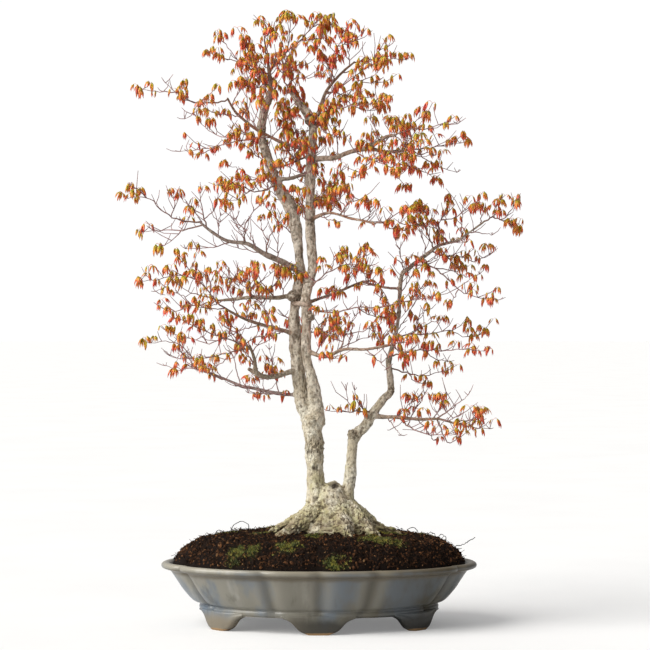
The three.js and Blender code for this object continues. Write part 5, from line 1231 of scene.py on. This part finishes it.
def leaf_shape(name, opening, first_bend, last_bend, lobes, stalk, seed):
    """A leaf about 1 long: its stalk leaves along +X, and its lobes hang from the end of the stalk."""
    draw = random.Random(seed)
    corners = []

    def corner(point, far, side):
        corners.append((tuple(point), far, side))
        return len(corners) - 1

    neck = Vector((stalk, 0, stalk * STALK_RISE))
    for point in (Vector((0, 0, 0)), Vector((stalk * 0.6, 0, stalk * STALK_RISE * STALK_ARCH)), neck):
        for turn in (1.6, 3.7, 5.8):
            corner(point + Vector((0, math.cos(turn), math.sin(turn))) * STALK_RADIUS, STALK_TONE, 0.0)
    faces = [*ring_faces(3, 3), (0, 1, 2), (6, 7, 8)]
    for order in range(lobes):
        rank = order - (lobes - 1) / 2
        length = (1.0 - LOBE_SHORTER * abs(rank) ** 1.4) * draw.uniform(0.9, 1.06)
        width = LOBE_HALF_WIDTH * (1 - LOBE_NARROWER * abs(rank)) * draw.uniform(0.85, 1.15)
        fan = rank * opening * draw.uniform(0.9, 1.1)
        flat = Vector((math.cos(fan), math.sin(fan), 0))
        side = Vector((-math.sin(fan), math.cos(fan), 0))
        slack = draw.uniform(0.9, 1.08)
        point, reach, rows = neck.copy(), 0.0, []
        for far, broad in LOBE_STATIONS:
            bend = slack * (first_bend + (last_bend - first_bend) * far ** 0.7)
            point = point + (flat * math.cos(bend) - UP * math.sin(bend)) * (far - reach) * length
            reach = far
            up = flat * math.sin(bend) + UP * math.cos(bend)
            if broad:
                half, thick = width * broad, up * BLADE_HALF_THICKNESS
                edge = up * half * LOBE_FOLD
                rib, keel = corner(point + thick, far, 0.0), corner(point - thick, far, 0.0)
                left = corner(point + side * half + edge, far, 1.0)
                right = corner(point - side * half + edge, far, 1.0)
                rows.append((rib, left, keel, right))
            else:
                rows.append((corner(point, far, 0.0),) * 4)
        for here, after in zip(rows, rows[1:]):
            for i in range(4):
                j = (i + 1) % 4
                faces.append(tuple(dict.fromkeys((here[i], here[j], after[j], after[i]))))
    points, out, across = zip(*corners)
    leaf = make_piece(name, points, faces)
    add_values(leaf, "out", out)
    add_values(leaf, "across", across)
    face_outwards(leaf, weld=0)
    return leaf


# Name, then how far the lobes spread and bend at first and at last, their number, stalk length and seed.
LEAF_STATES = (
    ("a_closed", 0.6, 1.2, 1.6, 5, 0.26, 1),
    ("b_hanging", 0.62, 0.95, 1.5, 5, 0.34, 2),
    ("c_unfolding", 0.66, 0.6, 1.42, 5, 0.4, 3),
    ("d_spreading", 0.68, 0.3, 1.15, 5, 0.42, 4),
    ("e_small", 0.6, 0.9, 1.45, 3, 0.22, 5),
)
leaf_shapes = [leaf_shape("leaf_" + state[0], *state[1:]) for state in LEAF_STATES]
print("leaf shapes", [(leaf.name, len(leaf.data.polygons)) for leaf in leaf_shapes])


# %% [markdown]
# Leaves and stalks share one finish. The blade is olive and gold near its stalk, orange in the middle and
# salmon red at the tips and along its edges. Leaves differ, so each carries a random tint that slides it
# along that range, and a few stay yellow-green. Veins are drawn from the stored values: a pale midrib, and
# side veins that leave it at a slant.

# %% Leaf and twig finishes
LEAF_TONES = (
    (0.0, (0.42, 0.44, 0.02)), (0.18, (0.58, 0.4, 0.016)), (0.38, (0.7, 0.28, 0.016)),
    (0.55, (0.76, 0.14, 0.03)), (0.72, (0.78, 0.055, 0.055)), (1.0, (0.6, 0.028, 0.055)),
)
VEIN_COUNT, VEIN_SLANT = 62.0, -13.6


def weighted_sum(tree, total, *pairs):
    """A first value plus some others, each times its own weight."""
    for value, weight in pairs:
        total = calc(tree, "MULTIPLY_ADD", value, weight, total)
    return total


leaf_finish, tree, shader = new_finish("unfolding leaf", {
    "Roughness": 0.5, "Subsurface Weight": 0.3, "Subsurface Scale": 0.5,
    "Subsurface Radius": (0.004, 0.0015, 0.0008)})
out, across, tint = (attribute(tree, name) for name in ("out", "across", "tint"))
tone = tone_ramp(tree, weighted_sum(tree, -0.31, (out, 0.8), (across, 0.3), (tint, 0.44)), LEAF_TONES)
side_veins = calc(tree, "SINE", weighted_sum(tree, 0.0, (across, VEIN_SLANT), (out, VEIN_COUNT)))
veins = calc(tree, "MAXIMUM", map_range(tree, side_veins, 0.72, 1.0), map_range(tree, across, 0.16, 0.0))
dress(tree, shader, paint(tree, tone, ("veins", veins, 0.3, (0.8, 0.36, 0.1))), veins, 0.35, 0.2 * MM)

twig_finish, tree, shader = new_finish("young twig", {"Roughness": 0.6})
tone = mix(tree, blotch(tree, 160.0, 1.0, 0.4, 0.6), (0.17, 0.07, 0.065), (0.37, 0.2, 0.19))
tone = mix(tree, map_range(tree, attribute(tree, "thick"), 0.8 * MM, 1.3 * MM), tone, (0.24, 0.135, 0.1))
dress(tree, shader, tone, blotch(tree, 900.0, 0.5, 0.35, 0.65), 0.3, 0.3 * MM)
print("finishes", leaf_finish.name, "and", twig_finish.name)


# %% [markdown]
# A spray is first drawn as a plain sketch: edges for the twigs, each corner with its radius, and loose
# points for the leaves, each with a heading, a size and a tint. One Geometry Nodes tree then turns every
# sketch into twigs and leaves. Shoots stand in pairs at the nodes of a twig, one pair turned across the
# next, and the leaves hang in pairs from the shoots' tips. Some shoots are bare, as on the real plant.

# %% Sketch of a spray
MAIN_TWIG_RADIUS, SIDE_TWIG_RADIUS, FINE_TWIG_RADIUS, TWIG_TIP_RADIUS = 1.3, 0.95, 0.68, 0.42
NODE_SPACING, BARE_SHARE = 16.0, 0.08
TIP_CHANCE, PAIR_CHANCE, SHOOT_CHANCE, THIRD_CHANCE = 0.6, 0.42, 0.72, 0.45
LEAF_LENGTHS, STATE_WEIGHTS = (11.0, 23.0, 16.0), (3, 4, 3, 1, 2)
SMALL_STATE, SMALL_SHARE, TINT_SPREAD = 4, 0.75, 0.19
SHOOT_LENGTHS, LONG_SHOOT, END_SHOOT_SHARE = (7.0, 50.0, 15.0), 24.0, 0.45
LEAST_LEAFY, LEAFIER, LOOK_BACK, FORWARD, END_FORK = 0.35, 1.1, 3, 0.6, (-0.8, 0.8, math.pi * 0.9)
ZIGZAG, ROOTED, SHOOT_BOW, SHOOT_RISE = 1.3, 1.2, 0.09, 0.2
EDGE_X, EDGE_Z, EDGE_SHARE = 280.0, 904.0, 0.42


def held_back(value, edge):
    """Past an edge only a share of the way is kept, so that no shoot grows far out of the crown."""
    return value if abs(value) < edge else math.copysign(edge + EDGE_SHARE * (abs(value) - edge), value)


class Sketch:
    """Twigs as edges and leaves as loose points, with the values of each corner."""

    def __init__(self):
        self.corners, self.edges, self.leaves = [], [], 0

    def add(self, point, thick=0.0, is_leaf=False, heading=(0, 0, 0), size=0.0, state=0, tint=0.0):
        x, y, z = point
        place = Vector((held_back(x, EDGE_X), y, held_back(z, EDGE_Z)))
        self.corners.append((place * MM, thick * MM, is_leaf, heading, size * MM, state, tint))
        self.leaves += is_leaf
        return len(self.corners) - 1

    def line(self, points, radii):
        ids = [self.add(point, radius) for point, radius in zip(points, radii)]
        self.edges += list(zip(ids, ids[1:]))


def add_leaf(sketch, point, azimuth, draw, age):
    lean = (draw.uniform(-0.25, 0.25), draw.uniform(-0.3, 0.3), azimuth)
    state = draw.choices(range(len(STATE_WEIGHTS)), weights=STATE_WEIGHTS)[0]
    size = draw.triangular(*LEAF_LENGTHS) * (SMALL_SHARE if state == SMALL_STATE else 1)
    sketch.add(point, 0.0, True, lean, size, state, min(1, max(0, draw.gauss(age, TINT_SPREAD))))


def add_pair(sketch, point, azimuth, draw, age):
    """Two leaves that hang opposite each other."""
    for side in (0, math.pi):
        add_leaf(sketch, point, azimuth + side + draw.uniform(-0.35, 0.35), draw, age)


def twig_points(route, wander, draw):
    """A twig's route as a smooth line with a little zigzag from node to node."""
    line = smooth_line(route, 4)
    sway = np.array([[draw.uniform(-1, 1) for _ in range(3)] for _ in line]) * wander
    sway[0] = sway[-1] = 0
    return line + sway


def sink_into_wood(route):
    """The route with its first point moved just under the bark that lies nearest to it."""
    _, place, out, _ = wood.closest_point_on_mesh(Vector(route[0]) * MM)
    if (Vector(route[0]) * MM - place).dot(out) > -ROOTED * MM:
        route = np.vstack([np.array(place - out * ROOTED * MM) / MM, route[1:]])
    return route


def rest_on_lines(route, lines):
    """The route with its first point moved to the nearest point of some lines that are already drawn."""
    start, best, least = np.array(route[0]), None, math.inf
    for line in lines:
        spans = np.diff(line, axis=0)
        shares = np.clip(((start - line[:-1]) * spans).sum(1) / (spans ** 2).sum(1), 0, 1)
        places = line[:-1] + spans * shares[:, None]
        misses = np.linalg.norm(places - start, axis=1)
        if misses.min() < least:
            best, least = places[misses.argmin()], misses.min()
    return np.vstack([best, route[1:]])


def point_on(line, reaches, reach):
    return np.array([np.interp(reach, reaches, line[:, axis]) for axis in range(3)])


def sketch_shoot(sketch, start, way, length, draw, age, leafy):
    """A fine shoot that curves up a little, bare or with leaves at its tip and, if it is long, midway."""
    start, side = Vector(start), Vector((draw.uniform(-1, 1), draw.uniform(-1, 1), draw.uniform(-0.2, 0.8)))
    middle = start + way * length * 0.5 + side * length * SHOOT_BOW
    tip = start + (way + UP * SHOOT_RISE).normalized() * length
    sketch.line((start, middle, tip), (FINE_TWIG_RADIUS, FINE_TWIG_RADIUS * 0.8, TWIG_TIP_RADIUS))
    pair = draw.uniform(0, math.pi)
    if draw.random() > TIP_CHANCE * leafy:
        return
    add_pair(sketch, tip, pair, draw, age)
    if length > LONG_SHOOT:
        add_pair(sketch, middle, pair + math.pi / 2, draw, age)
    elif draw.random() < THIRD_CHANCE:
        add_leaf(sketch, tip, pair + math.pi / 2, draw, age)


def sketch_twig(sketch, route, radius, draw, age, leafiness):
    """A twig with its shoots and leaves, from its end back to near its base. Returns its line."""
    line = twig_points(route, ZIGZAG, draw)
    reaches = reaches_along(line)
    at = length = reaches[-1]
    sketch.line(line, radius + (TWIG_TIP_RADIUS - radius) * reaches / length)
    order = 0
    while at > BARE_SHARE * length:
        point = point_on(line, reaches, at)
        leafy = leafiness * min(1.0, LEAST_LEAFY + LEAFIER * at / length)
        ahead = Vector(point - point_on(line, reaches, max(0, at - LOOK_BACK))).normalized()
        turn = math.atan2(ahead[1], ahead[0]) + (math.pi / 2 if order % 2 else 0.4) + draw.uniform(-0.4, 0.4)
        for side in (0, math.pi) if order else END_FORK:
            azimuth = turn + side + draw.uniform(-0.3, 0.3)
            way = Vector((math.cos(azimuth), math.sin(azimuth), draw.uniform(0.0, 1.2)))
            if order == 0 or draw.random() < SHOOT_CHANCE:
                reach = draw.triangular(*SHOOT_LENGTHS) * (1 if order else END_SHOOT_SHARE)
                sketch_shoot(sketch, point, (way + FORWARD * ahead).normalized(), reach, draw, age, leafy)
        if draw.random() < PAIR_CHANCE * leafy:
            add_pair(sketch, point, turn + math.pi / 2, draw, age)
        at -= NODE_SPACING * draw.uniform(0.8, 1.25)
        order += 1
    return line


# %% [markdown]
# The tree of nodes has two arms. In one, the edges become curves, take their stored radius and are swept
# with a small ring. In the other, each loose point receives one of the leaf shapes, turned and scaled by
# its stored values. Realize Instances makes plain mesh of it all, and each arm sets its own finish.

# %% Geometry Nodes for a spray
def make_spray_tree():
    group, given = start_group(
        "Leafy spray", "GeometryNodeTree",
        [("Sketch", "Geometry", None), ("Leaves", "Collection", None), ("Leaf Scale", "Float", 1.0),
         ("Twig Sides", "Int", 5), ("Leaf Finish", "Material", None), ("Twig Finish", "Material", None)],
        ("Spray", "Geometry"))
    split = {"Geometry": given["Sketch"], "Selection": stored(group, "is_leaf", "BOOLEAN")}
    parts = add_node(group, "GeometryNodeSeparateGeometry", split, domain="POINT")
    curves = add_node(group, "GeometryNodeMeshToCurve", {"Mesh": parts.outputs["Inverted"]})
    ring = {"Radius": 1.0, "Resolution": given["Twig Sides"]}
    ring = add_node(group, "GeometryNodeCurvePrimitiveCircle", ring, mode="RADIUS")
    sweep = add_node(group, "GeometryNodeCurveToMesh", {
        "Curve": curves.outputs["Curve"], "Profile Curve": ring.outputs["Curve"],
        "Scale": stored(group, "thick"), "Fill Caps": True})
    shapes = add_node(group, "GeometryNodeCollectionInfo", {
        "Collection": given["Leaves"], "Separate Children": True, "Reset Children": True})
    placed = add_node(group, "GeometryNodeInstanceOnPoints", {
        "Points": parts.outputs["Selection"], "Instance": shapes.outputs["Instances"], "Pick Instance": True,
        "Instance Index": stored(group, "state", "INT"), "Rotation": stored(group, "heading", "FLOAT_VECTOR"),
        "Scale": multiply(group, stored(group, "size"), given["Leaf Scale"])})
    both = add_node(group, "GeometryNodeJoinGeometry").inputs["Geometry"]
    plug(group, both, set_finish(group, sweep.outputs["Mesh"], given["Twig Finish"]))
    plug(group, both, plain_mesh(group, placed.outputs["Instances"], given["Leaf Finish"]))
    close_group(group, both.node.outputs["Geometry"])
    return group


spray_tree = make_spray_tree()
leaf_box = bpy.data.collections.new("leaf shapes")
bpy.context.scene.collection.children.link(leaf_box)
for leaf in leaf_shapes:
    bpy.context.scene.collection.objects.unlink(leaf)
    leaf_box.objects.link(leaf)


def grow_sketch(sketch, name, finish=twig_finish):
    """A piece grown from a sketch: a mesh of edges and points, with its values stored as attributes."""
    points, *columns = zip(*sketch.corners)
    mesh = bpy.data.meshes.new(name)
    mesh.from_pydata(points, sketch.edges, [])
    kinds = (("thick", "FLOAT"), ("is_leaf", "BOOLEAN"), ("heading", "FLOAT_VECTOR"), ("size", "FLOAT"),
             ("state", "INT"), ("tint", "FLOAT"))
    for (label, kind), values in zip(kinds, columns):
        field = "vector" if kind == "FLOAT_VECTOR" else "value"
        mesh.attributes.new(label, kind, "POINT").data.foreach_set(field, np.ravel(values))
    piece = put_in_scene(name, mesh)
    grow(piece, spray_tree, Leaves=leaf_box, Leaf_Scale=1.0, Twig_Sides=5, Leaf_Finish=leaf_finish,
         Twig_Finish=finish)
    return piece


# %% [markdown]
# Each spray is grown and takes the place of its solid in the frame. The seed steps on from spray to spray,
# so no two are alike and each is the same on every run. Some sprays are nearly bare and some are dense,
# and the youngest ones are still yellow-green.

# %% Grow the sprays
SPARSE_SPRAYS = {
    "far_left_upper": 0.4, "far_left_lower": 0.4, "left_upper_lift": 0.35, "left_inner_lift": 0.3,
    "left_middle_lift": 0.4, "far_left_low": 0.45, "left_low_trail": 0.4, "low_inner": 0.45,
    "low_far_lift": 0.6, "low_near_hang": 0.5, "low_step": 0.45, "low_ledge": 0.6, "back_low": 0.55,
    "left_middle_trail": 0.6, "left_middle_back": 0.6, "right_trunk_inner": 0.6, "crown_tip": 0.6,
}
FULL_SPRAY, PLAIN_SPRAY = 0.95, 0.72
FULL_SPRAYS = ("crown", "top", "right_high", "right_inner", "back", "right_shoulder", "right_middle")
YOUNG_SPRAYS = {"far_left_low": 0.05, "far_left_lower": 0.3, "crown_leader": 0.32, "crown_tip": 0.3}
LEAF_SEED, AGES = 31, (0.4, 0.7)

leaf_count = 0
for order, (name, routes) in enumerate(routes_of.items()):
    draw = random.Random(LEAF_SEED + order)
    sketch, age = Sketch(), YOUNG_SPRAYS.get(name, draw.uniform(*AGES))
    leafiness = SPARSE_SPRAYS.get(name, FULL_SPRAY if name.startswith(FULL_SPRAYS) else PLAIN_SPRAY)
    lines = []
    for route in routes:
        route = rest_on_lines(route, lines) if lines else sink_into_wood(route)
        radius = SIDE_TWIG_RADIUS if lines else MAIN_TWIG_RADIUS
        lines.append(sketch_twig(sketch, route, radius, draw, age, leafiness))
    leaf_count += sketch.leaves
    piece = grow_sketch(sketch, "leaves_" + name)
    piece.data.shade_smooth()
    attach(piece, "root")
    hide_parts("spray_" + name)
print("leaves", leaf_count, "in", len(routes_of), "sprays")


# %% [markdown]
# The limbs themselves are never bare in the crown: every few centimetres a thin branchlet leaves them and
# climbs outwards. No solid stands for these, so they are placed by rule: evenly along a limb, each turned
# round it from the one before, and bent a little upwards. Each limb's branchlets are one piece.

# %% Branchlets on the limbs
BRANCHLET_SPACING, BRANCHLET_LENGTHS = 21.0, (22.0, 78.0, 38.0)
BRANCHLET_SIDE, BRANCHLET_AHEAD, BRANCHLET_LIFT = 0.92, 0.55, (0, -0.08, 0.4)
DEEPEST = 128.0
LOWEST_ON_TRUNK = {"left_trunk": 560, "middle_trunk": 575, "right_trunk": 375}
BARE_LIMBS = ("hooked_stub", "pale_band", "slim_link", "natural_graft")
SPARSE_LIMBS = {
    "high_left_branch": 0.22, "low_left_branch": 0.3, "hooked_branch": 0.5, "low_far_branch": 0.35,
    "right_trunk": 0.4, "burl_branch": 0.5, "swaying_branch": 0.45, "left_trunk": 0.8, "middle_trunk": 0.85,
    "top_right_branch": 0.8,
}
FULL_LIMB, LIMB_SEED = 0.52, 400


def branchlet_routes(name, draw):
    line = smooth_line(LIMBS[name], 6)
    line = line[line[:, 2] > LOWEST_ON_TRUNK.get(name, 0)]
    reaches = reaches_along(line[:, :3])
    ahead_of, across_of, over_of = sections_along(line)
    at, turn = BRANCHLET_SPACING * 0.8, draw.uniform(0, 6)
    while at < reaches[-1]:
        i = int(np.searchsorted(reaches, at))
        round_limb = Vector(math.cos(turn) * across_of[i] + math.sin(turn) * over_of[i])
        way = BRANCHLET_SIDE * round_limb + BRANCHLET_AHEAD * Vector(ahead_of[i]) + Vector(BRANCHLET_LIFT)
        way.normalize()
        length = draw.triangular(*BRANCHLET_LENGTHS)
        start = Vector(line[i, :3])
        bend = Vector((draw.uniform(-0.3, 0.3), draw.uniform(-0.3, 0.3), draw.uniform(-0.15, 0.35)))
        route = np.array([start + (way + bend * share) * length * share for share in (0, 0.34, 0.68, 1.0)])
        route[:, 1] = np.clip(route[:, 1], -DEEPEST, DEEPEST)
        yield route
        at += BRANCHLET_SPACING * draw.uniform(0.75, 1.3)
        turn += GOLDEN_TURN + draw.uniform(-0.4, 0.4)


leaf_count = 0
leafy_limbs = [name for name in (*TRUNKS, *BRANCHES) if name not in BARE_LIMBS]
for order, name in enumerate(leafy_limbs):
    draw = random.Random(LIMB_SEED + order)
    sketch, age = Sketch(), draw.uniform(*AGES)
    for route in list(branchlet_routes(name, draw)):
        leafiness = SPARSE_LIMBS.get(name, FULL_LIMB)
        sketch_twig(sketch, sink_into_wood(route), SIDE_TWIG_RADIUS, draw, age, leafiness)
    leaf_count += sketch.leaves
    piece = grow_sketch(sketch, "branchlets_" + name)
    piece.data.shade_smooth()
    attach(piece, "root")
print("leaves", leaf_count, "on the branchlets of", len(leafy_limbs), "limbs")


# %% [markdown]
# A few dead roots, no thicker than wire, loop out of the soil at both ends of the mound. They are drawn in
# the same kind of sketch and swept by the same nodes.

# %% Dead roots
DEAD_ROOTS = (
    ((-141, -6, 130), (-139, -3, 145), (-134, -2, 151), (-125, -4, 155), (-117, -2, 151.5), (-114, 0, 146),
     (-117, 2, 134)),
    ((-168, -6, 126), (-164, -4, 137), (-158, -2, 141.5), (-152, -1, 138), (-148, 0, 131)),
    ((-200, -4, 120), (-194, -2, 128), (-189, 0, 127), (-184, 2, 130), (-178, 2, 126)),
    ((186, -6, 112), (193, -5, 117), (202, -4, 119), (209, -3, 121), (216, -4, 126), (225, -5, 131)),
    ((150, -8, 128), (156, -8, 138), (163, -6, 137), (166, -4, 130)),
    ((168, -2, 124), (172, -2, 134), (180, -2, 132), (182, 0, 122)),
    ((120, 20, 132), (128, 20, 143), (138, 18, 141), (142, 18, 132)),
    ((-60, 96, 124), (-66, 108, 133), (-78, 112, 131), (-86, 108, 119)),
)
ROOT_RADIUS, ROOT_WANDER, ROOT_SEED = 0.55, 0.7, 71
draw = random.Random(ROOT_SEED)
sketch = Sketch()
for route in DEAD_ROOTS:
    line = twig_points(route, ROOT_WANDER, draw)
    sketch.line(line, [ROOT_RADIUS * draw.uniform(0.75, 1.3) for _ in line])
roots = grow_sketch(sketch, "dead_roots", earth)
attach(roots, "root")
print("dead roots", len(DEAD_ROOTS))
for leaf in leaf_shapes:
    bpy.data.objects.remove(leaf, do_unlink=True)
bpy.data.collections.remove(leaf_box)
